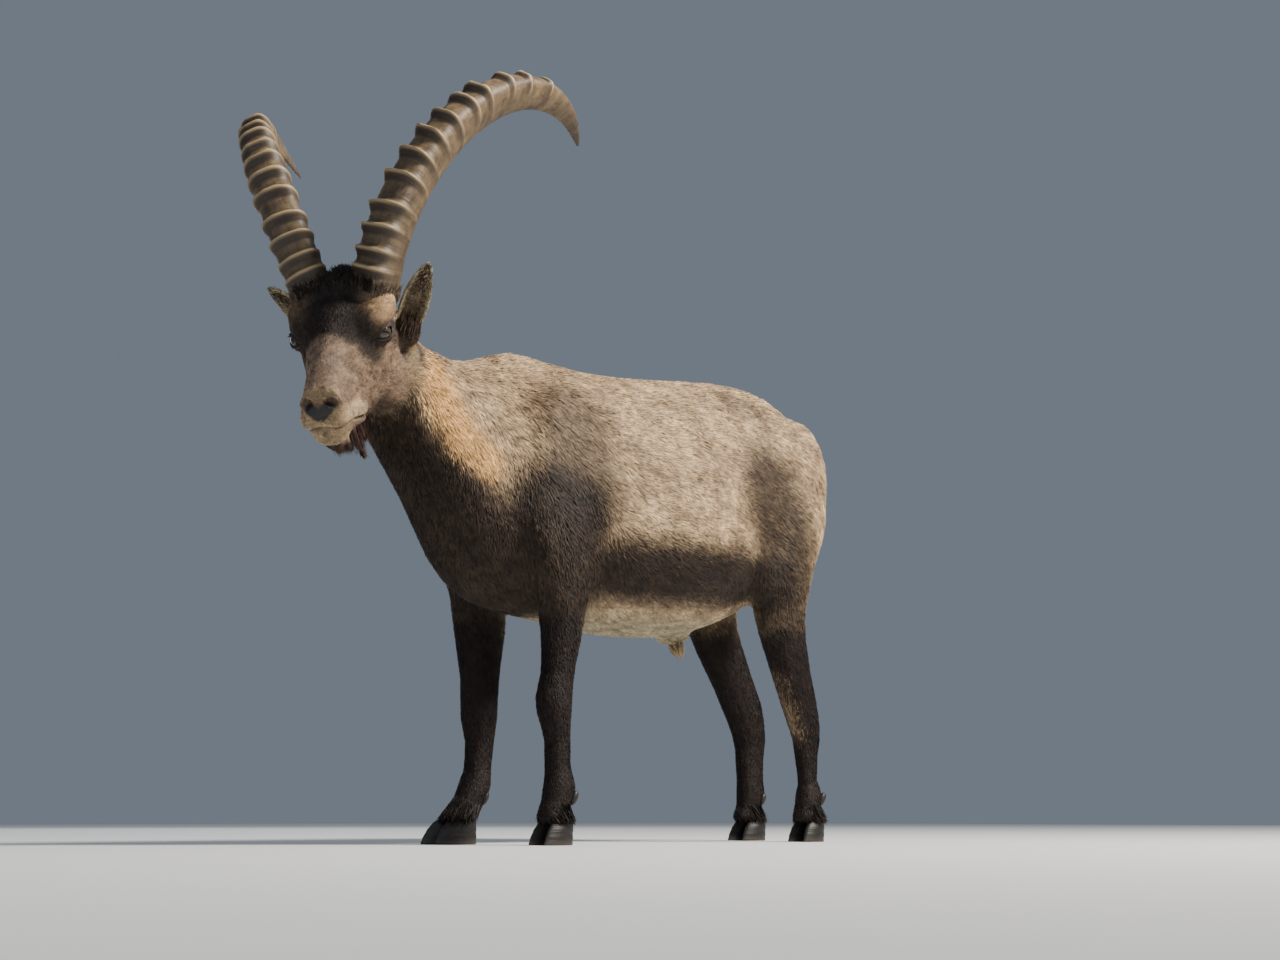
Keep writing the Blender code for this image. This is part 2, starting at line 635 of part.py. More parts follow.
EAR_LENGTH = 0.136
EAR_ROOT = {"left": (0.078, -0.006, -0.129), "right": (-0.071, 0.004, -0.113)}
EAR_WAY = {"left": (0.419, -0.541, 0.729), "right": (-0.652, -0.550, 0.522)}
EAR_FACES = {"left": (0.40, 0.80, 0.35), "right": (-0.60, 0.75, 0.25)}
EAR_LEAF = [(0.00, 0.018, 0.013), (0.10, 0.0200, 0.014), (0.25, 0.0235, 0.015), (0.42, 0.0250, 0.013),
            (0.60, 0.0240, 0.010), (0.78, 0.0190, 0.006), (0.92, 0.0115, 0.003), (1.00, 0.004, 0.001)]


def ear_frame(side, way):
    """Where an ear leaves the head, its way along, the way its cup faces, and its way across."""
    along = head_way(*EAR_WAY[side]).normalized()
    facing = head_way(*EAR_FACES[side])
    cup = (facing - along * facing.dot(along)).normalized()
    return on_head(*EAR_ROOT[side]), along, cup, along.cross(cup)


def ear(side, way, home):
    root, along, cup, wide = ear_frame(side, way)
    rings = []
    for share, half, deep in resampled(EAR_LEAF, 2):
        middle = root + along * (EAR_LENGTH * share + 0.002) - cup * 0.010 * math.sin(math.pi * share * 0.9)
        thick = 0.0026
        outer, inner = [], []
        for k in range(9):
            turn = math.pi * (k / 8 - 0.5)
            edge = math.sin(turn)
            bowl = -deep * 1.5 * math.cos(turn)
            outer.append(middle + wide * half * edge + cup * bowl)
            inner.append(middle + wide * (half - thick) * edge + cup * (bowl + thick * 1.6))
        rings.append(outer + inner[::-1])
    loft("ear_" + side, rings, home)


# Hooves and dewclaws

def claw(name, toe, heading, way, length, grow, home):
    """One claw, toe and heel in line with heading, its sole flat on the ground, its inner wall flatter."""
    ahead = Vector((math.sin(heading), -math.cos(heading), 0))
    side = Vector((math.cos(heading), math.sin(heading), 0))
    rings = []
    levels = [(0.0, 1.00, 0.0150, 0.0), (0.004, 1.03, 0.0158, 0.0), (0.022, 0.92, 0.0158, 0.004),
              (0.040, 0.74, 0.0145, 0.011), (0.052, 0.55, 0.0120, 0.017)]
    for level, share, wide, back in levels:
        long = length / 2 * share + grow
        middle = Vector((toe[0], toe[1], 0)) - ahead * (length / 2 + back) + Vector((0, 0, level))
        if level == levels[-1][0]:
            middle += Vector((0, 0, grow))
        ring = []
        for k in range(12):
            turn = 2 * math.pi * (k + 0.5) / 12
            c, s = math.cos(turn), math.sin(turn)
            across = (wide + grow) * math.copysign(abs(c) ** 0.9, c) * (1 - 0.42 * max(0.0, s) ** 2)
            if c * way < 0:
                across *= 0.72
            ring.append(middle + side * across + ahead * long * math.copysign(abs(s) ** 0.95, s))
        rings.append(ring)
    return loft(name, rings, home)


# Each foot: how far to the left, where its toes end, how far it turns out, and the length of its claws
FEET = {
    "fore_left": (0.105, -0.372, 2.0, 0.072), "fore_right": (-0.122, -0.430, -20.0, 0.080),
    "hind_left": (0.108, 0.312, 4.0, 0.064), "hind_right": (-0.108, 0.370, -4.0, 0.064),
}


def hooves(body, cutters, keep):
    for foot, (x, y, heading, length) in FEET.items():
        for which, way in (("inner", -1), ("outer", 1)):
            step = way if foot.endswith("left") else -way
            spot = (x + step * 0.0200, y)
            turn = math.radians(heading + step * 7)
            claw("claw_seat", spot, turn, step, length, GAP, cutters)
            claw("claw_" + foot + "_" + which, spot, turn, step, length, 0.0, keep)
            table = (FORELEG if foot.startswith("fore") else HIND_LEG)[foot.split("_")[1]]
            pastern = table[-2]
            place = Vector((x * abs(pastern[4] / x) + step * 0.0150, pastern[0] + pastern[3] + 0.001,
                            0.083))
            lean = turned(-22, step * 10)
            ball("dewclaw_seat", place, (0.0085 + GAP, 0.0085 + GAP, 0.015 + GAP), cutters, lean, 8, 5)
            ball("dewclaw_" + foot + "_" + which, place, (0.0085, 0.0085, 0.015), keep, lean, 8, 5)
    boolean(body, cutters, "DIFFERENCE")


# Cuts through the flesh: name, place, the way square to the cut, half width and half height

def part_lines():
    across = Vector((1, 0, 0))
    lines = [("nape", Vector((-0.030, -0.612, 0.812)), Vector((-0.05, -0.66, 0.75)), across, 0.115, 0.150),
             ("withers", Vector((0, -0.478, 0.650)), Vector((0, -0.86, 0.50)), across, 0.19, 0.30),
             ("dock", Vector((0, 0.432, 0.798)), Vector((0, 0.85, -0.40)), across, 0.034, 0.034)]
    for side, way in SIDES.items():
        fore, hind = FORELEG[side], HIND_LEG[side]
        lines += [
            ("elbow_" + side, Vector((way * 0.115, fore[2][0], 0.432)), Vector((-way * 0.55, 0, 0.83)),
             across, 0.085, 0.110),
            ("knee_" + side, Vector((way * 0.105, fore[5][0], 0.247)), Vector((0, 0, 1)), across, 0.06,
             0.07),
            ("stifle_" + side, Vector((way * 0.115, hind[3][0], 0.452)), Vector((-way * 0.45, -0.10, 0.88)),
             across, 0.090, 0.135),
            ("hock_" + side, Vector((way * 0.108, hind[6][0], 0.222)), Vector((0, 0.1, 1)), across,
             0.06, 0.07),
        ]
    return lines


PART_PLACES = {
    "torso": (0, 0, 0.64), "neck": (-0.01, -0.59, 0.76), "tail": (0, 0.472, 0.72),
    "foreleg_left_upper": (0.105, -0.32, 0.35), "foreleg_left_lower": (0.105, -0.325, 0.16),
    "foreleg_right_upper": (-0.105, -0.325, 0.35), "foreleg_right_lower": (-0.105, -0.33, 0.16),
    "hind_leg_left_upper": (0.11, 0.285, 0.36), "hind_leg_left_lower": (0.108, 0.342, 0.15),
    "hind_leg_right_upper": (-0.11, 0.33, 0.38), "hind_leg_right_lower": (-0.108, 0.412, 0.15),
}


def parted(body, cutters, keep):
    """Part the flesh with the thin cuts, and name each piece by its place."""
    for line in part_lines():
        plate(*line, cutters)
    for side, way in SIDES.items():
        root, along, cup, wide = ear_frame(side, way)
        plate("ear_" + side, root + along * 0.044 - cup * 0.010, along, wide, 0.036, 0.036, cutters)
    boolean(body, cutters, "DIFFERENCE")
    built = bmesh.new()
    built.from_mesh(body.data)
    bmesh.ops.triangulate(built, faces=built.faces)
    built.verts.ensure_lookup_table()
    left = set(built.verts)
    pieces = []
    while left:
        piece, edge = set(), [next(iter(left))]
        while edge:
            vert = edge.pop()
            if vert in piece:
                continue
            piece.add(vert)
            edge += [link.other_vert(vert) for link in vert.link_edges]
        left -= piece
        pieces.append(piece)
    pieces = [piece for piece in pieces if len(piece) > 12]
    places = dict(PART_PLACES)
    places["head"] = tuple(on_head(0, 0.12, -0.08))
    for side, way in SIDES.items():
        root, along, cup, wide = ear_frame(side, way)
        places["ear_" + side] = tuple(root + along * 0.10)
    # Each place belongs to the piece with a point nearest to it
    for name, place in places.items():
        place = Vector(place)
        own = min(pieces, key=lambda piece: min((vert.co - place).length_squared for vert in piece))
        index = {vert: i for i, vert in enumerate(sorted(own, key=lambda vert: vert.index))}
        faces = [[index[vert] for vert in face.verts] for face in built.faces if face.verts[0] in own]
        mesh_object(name, [vert.co.copy() for vert in sorted(own, key=lambda vert: vert.index)], faces,
                    keep)
    built.free()
    bpy.data.objects.remove(body)


def largest_surface(thing):
    """Keep only the largest closed surface of a part."""
    built = bmesh.new()
    built.from_mesh(thing.data)
    left = set(built.verts)
    best = set()
    while left:
        piece, edge = set(), [next(iter(left))]
        while edge:
            vert = edge.pop()
            if vert in piece:
                continue
            piece.add(vert)
            edge += [link.other_vert(vert) for link in vert.link_edges]
        left -= piece
        best = max(best, piece, key=len)
    bmesh.ops.delete(built, geom=[vert for vert in built.verts if vert not in best], context="VERTS")
    built.to_mesh(thing.data)
    built.free()


COLOURS = {
    "head": (0.18, 0.13, 0.09), "neck": (0.35, 0.26, 0.17), "torso": (0.40, 0.33, 0.24),
    "tail": (0.05, 0.035, 0.025), "ear": (0.25, 0.21, 0.17), "eye": (0.10, 0.05, 0.02),
    "horn": (0.22, 0.17, 0.12), "claw": (0.02, 0.017, 0.015), "dewclaw": (0.02, 0.017, 0.015),
    "foreleg": (0.045, 0.03, 0.022), "hind": (0.06, 0.04, 0.028),
}


def paint(thing):
    paint_name = thing.name.split("_")[0]
    made = bpy.data.materials.new(thing.name)
    made.use_nodes = True
    shader = made.node_tree.nodes["Principled BSDF"]
    shader.inputs["Base Color"].default_value = (*COLOURS[paint_name], 1)
    shader.inputs["Roughness"].default_value = 0.2 if paint_name == "eye" else 0.85
    thing.data.materials.clear()
    thing.data.materials.append(made)


def main():
    remove_startup_objects()
    scene_home = bpy.context.scene.collection
    animal = collection_named("Alpine ibex", scene_home)
    workshop = collection_named("Forms", scene_home)
    cutters = collection_named("Cutters", scene_home, helpers=True)
    body = flesh(workshop)
    for side, way in SIDES.items():
        ear(side, way, cutters)
        ball("lids_" + side, eye_place(way), (EYE_RADIUS + 0.0030,) * 3, cutters, around=20, along=12)
    beard(cutters)
    boolean(body, cutters, "UNION")
    mouth_and_nostrils(body, cutters)
    boolean(body, cutters, "DIFFERENCE")
    horns(body, cutters, animal)
    eyes(body, cutters, cutters, animal)
    hooves(body, cutters, animal)
    parted(body, cutters, animal)
    for thing in animal.objects:
        largest_surface(thing)
        thing.data.transform(Matrix.Translation(SHIFT))
        paint(thing)


main()
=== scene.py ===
"""Alpine ibex, adult male in its short summer coat, standing."""
import bmesh
import bpy
import math
import numpy as np
from mathutils import Matrix, Vector


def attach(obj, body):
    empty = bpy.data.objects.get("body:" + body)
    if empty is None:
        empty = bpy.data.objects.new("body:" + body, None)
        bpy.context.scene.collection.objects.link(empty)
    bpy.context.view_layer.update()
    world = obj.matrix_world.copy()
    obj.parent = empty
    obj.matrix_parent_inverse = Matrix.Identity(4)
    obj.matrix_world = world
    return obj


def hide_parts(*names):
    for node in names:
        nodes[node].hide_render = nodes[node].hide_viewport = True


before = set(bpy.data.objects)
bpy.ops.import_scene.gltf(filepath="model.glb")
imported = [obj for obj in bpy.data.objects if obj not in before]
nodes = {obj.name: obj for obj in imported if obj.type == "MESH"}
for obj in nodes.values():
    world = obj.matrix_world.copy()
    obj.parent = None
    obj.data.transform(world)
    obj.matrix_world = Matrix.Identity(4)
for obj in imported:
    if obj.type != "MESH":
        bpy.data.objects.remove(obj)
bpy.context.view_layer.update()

# The hide is one skin over the whole animal, from the lips to the tail and down to the hooves.
# It is drawn over the parted flesh, fused so that no cut shows, then sunk by the depth of the hair
# that grows on it, so that the tips of the coat come out where the flesh of the frame ends.
FLESH = ["head", "neck", "torso", "tail", "ear_left", "ear_right"]
FLESH += ["%s_%s_%s" % (leg, side, half) for leg in ("foreleg", "hind_leg") for side in ("left", "right")
          for half in ("upper", "lower")]
SIDES = {"left": 1, "right": -1}
STAND = Vector((0.1765, 0.2002, 0.0))
POLL = STAND + Vector((0.029, -0.767, 0.953))
HIDE_STEP = 0.0029
HIDE_FACES = 78000


def head_frame(yaw, dip, tilt):
    """Left, forward down the face, and up off the forehead, for a head turned, dipped and tilted so."""
    yaw, dip, tilt = (math.radians(turn) for turn in (yaw, dip, tilt))
    forward = Vector((math.sin(yaw) * math.cos(dip), -math.cos(yaw) * math.cos(dip), -math.sin(dip)))
    left = Vector((math.cos(yaw), math.sin(yaw), 0))
    up = left.cross(forward)
    up = up if up.z > 0 else -up
    return (left * math.cos(tilt) + up * math.sin(tilt), forward,
            up * math.cos(tilt) - left * math.sin(tilt))


HEAD_LEFT, HEAD_FORWARD, HEAD_UP = head_frame(36.0, 47.0, 4.0)
HEAD_TURN = Matrix((HEAD_LEFT, HEAD_FORWARD, HEAD_UP)).transposed()


def on_head(left, forward, up):
    return POLL + HEAD_TURN @ Vector((left, forward, up))


def read_points(thing, what="co"):
    flat = np.empty(len(thing.data.vertices) * 3)
    thing.data.vertices.foreach_get(what, flat)
    return flat.reshape(-1, 3)


def write_points(thing, points):
    thing.data.vertices.foreach_set("co", points.reshape(-1))
    thing.data.update()


def settle(thing):
    """Apply what the modifiers make of a mesh."""
    graph = bpy.context.evaluated_depsgraph_get()
    graph.update()
    done = bpy.data.meshes.new_from_object(thing.evaluated_get(graph))
    thing.modifiers.clear()
    old = thing.data
    thing.data = done
    bpy.data.meshes.remove(old)


def new_object(name, data):
    """An object in the scene that shows this data."""
    thing = bpy.data.objects.new(name, data)
    bpy.context.scene.collection.objects.link(thing)
    return thing


def smoothstep(values, low, high):
    share = np.clip((values - low) / (high - low), 0, 1)
    return share * share * (3 - 2 * share)


def edge_ends(thing):
    """The two ends of every edge of a mesh."""
    ends = np.empty(len(thing.data.edges) * 2, int)
    thing.data.edges.foreach_get("vertices", ends)
    return ends.reshape(-1, 2).T


def sum_around(values, a, b):
    """The sum over each point's neighbours of a value, when a and b are the ends of the edges."""
    return np.bincount(a, values[b], len(values)) + np.bincount(b, values[a], len(values))


def unit(vectors):
    return vectors / np.maximum(np.linalg.norm(vectors, axis=1, keepdims=True), 1e-9)


def relax(thing, rounds, share, back):
    """Smooth a mesh by share at each point, each time with a push back that keeps its volume."""
    a, b = edge_ends(thing)
    points = read_points(thing)
    near = np.maximum(sum_around(np.ones(len(points)), a, b), 1)
    for weight in (share, -back * share) * rounds:
        for axis in range(3):
            column = points[:, axis]
            points[:, axis] = column + weight * (sum_around(column, a, b) / near - column)
    write_points(thing, points)


def line_distance(points, line):
    """How far each point is from a line through several places, and how far along it, from 0 to 1."""
    line = [np.array(place) for place in line]
    best = np.full(len(points), 9.0)
    along = np.zeros(len(points))
    for k, (start, end) in enumerate(zip(line[:-1], line[1:])):
        run = end - start
        share = np.clip((points - start) @ run / max(run @ run, 1e-12), 0, 1)
        far = np.linalg.norm(points - start - share[:, None] * run, axis=1)
        closer = far < best
        best = np.where(closer, far, best)
        along = np.where(closer, (k + share) / (len(line) - 1), along)
    return best, along


def relaxed_normals(thing):
    """Each point's way out, taken over its neighbours too, so that hair lies even over small bumps."""
    a, b = edge_ends(thing)
    out = read_points(thing, "normal")
    for k in range(6):
        out = unit(out + np.stack([sum_around(out[:, axis], a, b) for axis in range(3)], axis=1))
    return out


hide_mesh = bpy.data.meshes.new("hide")
joined = bmesh.new()
for name in FLESH:
    # Each piece is grown a little, so that it meets its neighbour and the thin ears stay whole.
    grow = 0.0014 if name.startswith("ear") else 0.0004
    piece = nodes[name].data.copy()
    grown = read_points(nodes[name]) + read_points(nodes[name], "normal") * grow
    piece.vertices.foreach_set("co", grown.reshape(-1))
    joined.from_mesh(piece)
# The brow swells round the outer front of each horn's root.
for way in SIDES.values():
    swell = bmesh.ops.create_icosphere(joined, subdivisions=4, radius=1.0)["verts"]
    for vert in swell:
        vert.co = on_head(way * (0.062 + 0.034 * vert.co.x), 0.030 + 0.044 * vert.co.y,
                          -0.030 + 0.030 * vert.co.z)
joined.to_mesh(hide_mesh)
joined.free()
hide = new_object("hide", hide_mesh)
fuse = hide.modifiers.new("fuse", "REMESH")
fuse.mode = "VOXEL"
fuse.voxel_size = HIDE_STEP
settle(hide)
relax(hide, 6, 0.5, 1.04)


def head_places(points):
    """Left, forward and up of each place, as measured on the head."""
    return (points - np.array(POLL)) @ np.array(HEAD_TURN)


# Where the blade of an ear begins and ends, measured along it from its root
EAR_RUN = (0.022, 0.145)


def ear_frame(side):
    """Where an ear leaves the head, its way along, the way its cup faces, and its way across."""
    root = {"left": (0.078, -0.006, -0.129), "right": (-0.071, 0.004, -0.113)}[side]
    way = {"left": (0.419, -0.541, 0.729), "right": (-0.652, -0.550, 0.522)}[side]
    faces = {"left": (0.40, 0.80, 0.35), "right": (-0.60, 0.75, 0.25)}[side]
    along = (HEAD_TURN @ Vector(way)).normalized()
    faces = HEAD_TURN @ Vector(faces)
    cup = (faces - along * faces.dot(along)).normalized()
    return on_head(*root), along, cup, along.cross(cup)


def both(places):
    """The same line of places on the left and on the right."""
    return [places, [(-x, y, z) for x, y, z in places]]


def near_line(points, line, full, none):
    """1 within full of a line, falling to 0 at none from it."""
    return 1 - smoothstep(line_distance(points, line)[0], full, none)


def near_lines(points, lines, full, none):
    return np.max([near_line(points, line, full, none) for line in lines], axis=0)


def shares_of(points):
    """How far each place belongs to the face, an ear, a leg or the tail."""
    stand = points - np.array(STAND)
    head = head_places(points)
    share = {word: np.zeros(len(points)) for word in ("ear", "ear_inside", "ear_rim", "ear_deep")}
    for side in SIDES:
        root, along, cup, wide = ear_frame(side)
        far, run = line_distance(points, [root + along * at for at in EAR_RUN])
        on = (1 - smoothstep(far, 0.030, 0.036)) * smoothstep(run, 0.02, 0.14)
        bowl = (points - np.array(root)) @ np.array(cup) - 0.010 * np.sin(np.pi * 0.9 * run)
        inside = on * smoothstep(bowl, -0.030, -0.026)
        half = np.interp(run, np.linspace(0, 1, 8),
                         [0.018, 0.020, 0.0235, 0.025, 0.024, 0.019, 0.0115, 0.004])
        across = np.abs((points - np.array(root)) @ np.array(wide)) / half
        # The middle of each ear's cup, short of its tip, is darkened: painted shade deep in the hollow of the
        # ear.
        deep = inside * (1 - smoothstep(across, 0.34, 0.62)) * (1 - smoothstep(run, 0.74, 0.94))
        rim = inside * smoothstep(across, 0.56, 0.82)
        for word, here in (("ear", on), ("ear_inside", inside), ("ear_rim", rim), ("ear_deep", deep)):
            share[word] = np.maximum(share[word], here)
    axis = [(0, -0.07, -0.09), (0, 0.04, -0.10), (0, 0.28, -0.09)]
    face = 1 - smoothstep(line_distance(head, axis)[0], 0.115, 0.140)
    share["face"] = face * smoothstep(head[:, 1] + 0.25 * (head[:, 2] + 0.10), -0.075, -0.035)
    share["muzzle"] = share["face"] * smoothstep(head[:, 1], 0.13, 0.22)
    share["leg"] = (1 - smoothstep(stand[:, 2], 0.30, 0.47)) * smoothstep(np.abs(stand[:, 0]), 0.03, 0.07)
    share["foot"] = 1 - smoothstep(stand[:, 2], 0.10, 0.22)
    share["tail"] = near_line(stand, [(0, 0.455, 0.79), (0, 0.480, 0.66)], 0.030, 0.036)
    share["tail"] *= smoothstep(stand[:, 1], 0.425, 0.440)
    return stand, head, share


def stroke(line, reach, height):
    """Raise or press the face along a line on the head, fading out to nothing at reach from it."""
    near = line_distance(face, line)[0] / reach
    face[:] += face_out * (np.where(near < 1, (1 - near ** 2) ** 2, 0) * height)[:, None]


def dent(centre, radii, turn, way, deep):
    """Push the face within an oval along a way, deepest in its middle."""
    inside = (((face - np.array(centre)) @ np.array(turn)) / np.array(radii)) ** 2
    face[:] += np.array(way) * (np.clip(1 - inside.sum(1), 0, 1) ** 0.7 * deep)[:, None]


# The mouth: a fine dark line under a full upper lip, cleft below the nose. The lower lip is set back.
MOUTH = [(0.047, 0.176, -0.140), (0.046, 0.200, -0.132), (0.042, 0.230, -0.121), (0.034, 0.254, -0.111),
         (0.018, 0.268, -0.104), (0.0, 0.272, -0.101)]
NOSTRIL = (0.0205, 0.256, -0.063)
NOSE_PAD = both([(0.004, 0.268, -0.078), (0.022, 0.256, -0.063)])
EYE_RADIUS = 0.0180
# Half the length of the opening between the lids
LID_OPENING = 0.0158
eye_frames = {}
for side, way in SIDES.items():
    out = (HEAD_TURN @ Vector((way * 0.74, 0.58, 0.24))).normalized()
    along = (HEAD_FORWARD - out * HEAD_FORWARD.dot(out)).normalized()
    along = (along - out.cross(along) * way * 0.18).normalized()
    high = out.cross(along)
    eye_frames[side] = (on_head(way * 0.0715, 0.069, -0.0575), out, along, high if high.z > 0 else -high)
whole = read_points(hide)
on_face = np.flatnonzero(line_distance(head_places(whole), [(0, 0, -0.1), (0, 0.28, -0.09)])[0] < 0.15)
face = head_places(whole[on_face])
face_out = relaxed_normals(hide)[on_face] @ np.array(HEAD_TURN)
for side, way in SIDES.items():
    mouth = [(left * way, ahead, up) for left, ahead, up in MOUTH]
    stroke([(left, ahead, up + 0.009) for left, ahead, up in mouth], 0.013, 0.0028)
    stroke([(left, ahead, up - 0.010) for left, ahead, up in mouth], 0.012, 0.0016)
    stroke(mouth, 0.0064, -0.0066)
    # The wing of the nostril, the hollow in front of the eye, the brow, the cheek's bone and its muscle
    stroke([(way * 0.012, 0.262, -0.052), (way * 0.025, 0.256, -0.050), (way * 0.031, 0.246, -0.058),
            (way * 0.031, 0.246, -0.070)], 0.010, 0.0034)
    stroke([(way * 0.064, 0.106, -0.050), (way * 0.050, 0.140, -0.062)], 0.016, -0.0030)
    stroke([(way * 0.062, 0.088, -0.026), (way * 0.082, 0.060, -0.030), (way * 0.084, 0.030, -0.050)],
           0.016, 0.0040)
    stroke([(way * 0.078, 0.086, -0.085), (way * 0.066, 0.120, -0.098), (way * 0.054, 0.165, -0.104)],
           0.018, 0.0030)
    stroke([(way * 0.066, 0.110, -0.125), (way * 0.055, 0.150, -0.132)], 0.020, -0.0026)
    stroke([(way * 0.072, 0.018, -0.110), (way * 0.074, 0.040, -0.170), (way * 0.062, 0.085, -0.185)],
           0.022, 0.0034)
    for fold in range(3):
        stroke([(way * 0.047, 0.166 - 0.010 * fold, -0.128 - 0.005 * fold),
                (way * 0.046, 0.164 - 0.012 * fold, -0.148 - 0.002 * fold)], 0.0055, -0.0016)
stroke([(0, 0.270, -0.082), (0, 0.274, -0.098)], 0.0050, -0.0030)
stroke([(0, 0.262, -0.052), (0, 0.268, -0.074)], 0.0070, -0.0022)
stroke([(0, 0.130, -0.012), (0, 0.190, -0.022)], 0.026, 0.0030)
for side, way in SIDES.items():
    turn = Matrix(((way * 0.86, 0, -0.51), (0, 1, 0), (way * 0.51, 0, 0.86))).transposed()
    dent((way * NOSTRIL[0], *NOSTRIL[1:]), (0.0125, 0.016, 0.0066), turn, (-way * 0.35, -0.90, 0.10), 0.0120)
whole[on_face] = np.array(POLL) + face @ np.array(HEAD_TURN).T
for centre, out, along, high in eye_frames.values():
    # The flesh gives way to the ball of the eye, and sinks to its lids from all sides.
    from_eye = whole - np.array(centre)
    far = np.linalg.norm(from_eye, axis=1)
    oval = np.hypot(from_eye @ np.array(along) / LID_OPENING, from_eye @ np.array(high) / 0.0098)
    most = EYE_RADIUS - 0.0010 + 0.0085 * np.clip(oval - 1.05, 0, 3)
    sunk = (from_eye @ np.array(out) > 0) & (far > most) & (far < 0.042)
    whole[sunk] = np.array(centre) + from_eye[sunk] * (most / far)[sunk, None]
write_points(hide, whole)

COAT_DEPTH = {"body": 0.0050, "leg": 0.0030, "foot": 0.0018, "face": 0.0018, "muzzle": 0.0008,
              "ear": 0.0022, "tail": 0.0040}


def over_parts(sizes, share):
    """A size at each place, from its value on each part of the animal."""
    found = np.full(len(share["face"]), sizes["body"])
    for part in ("leg", "foot", "face", "muzzle", "ear", "tail"):
        found += (sizes[part] - found) * share[part]
    return found


depth = over_parts(COAT_DEPTH, shares_of(read_points(hide))[2])
write_points(hide, read_points(hide) - relaxed_normals(hide) * depth[:, None])
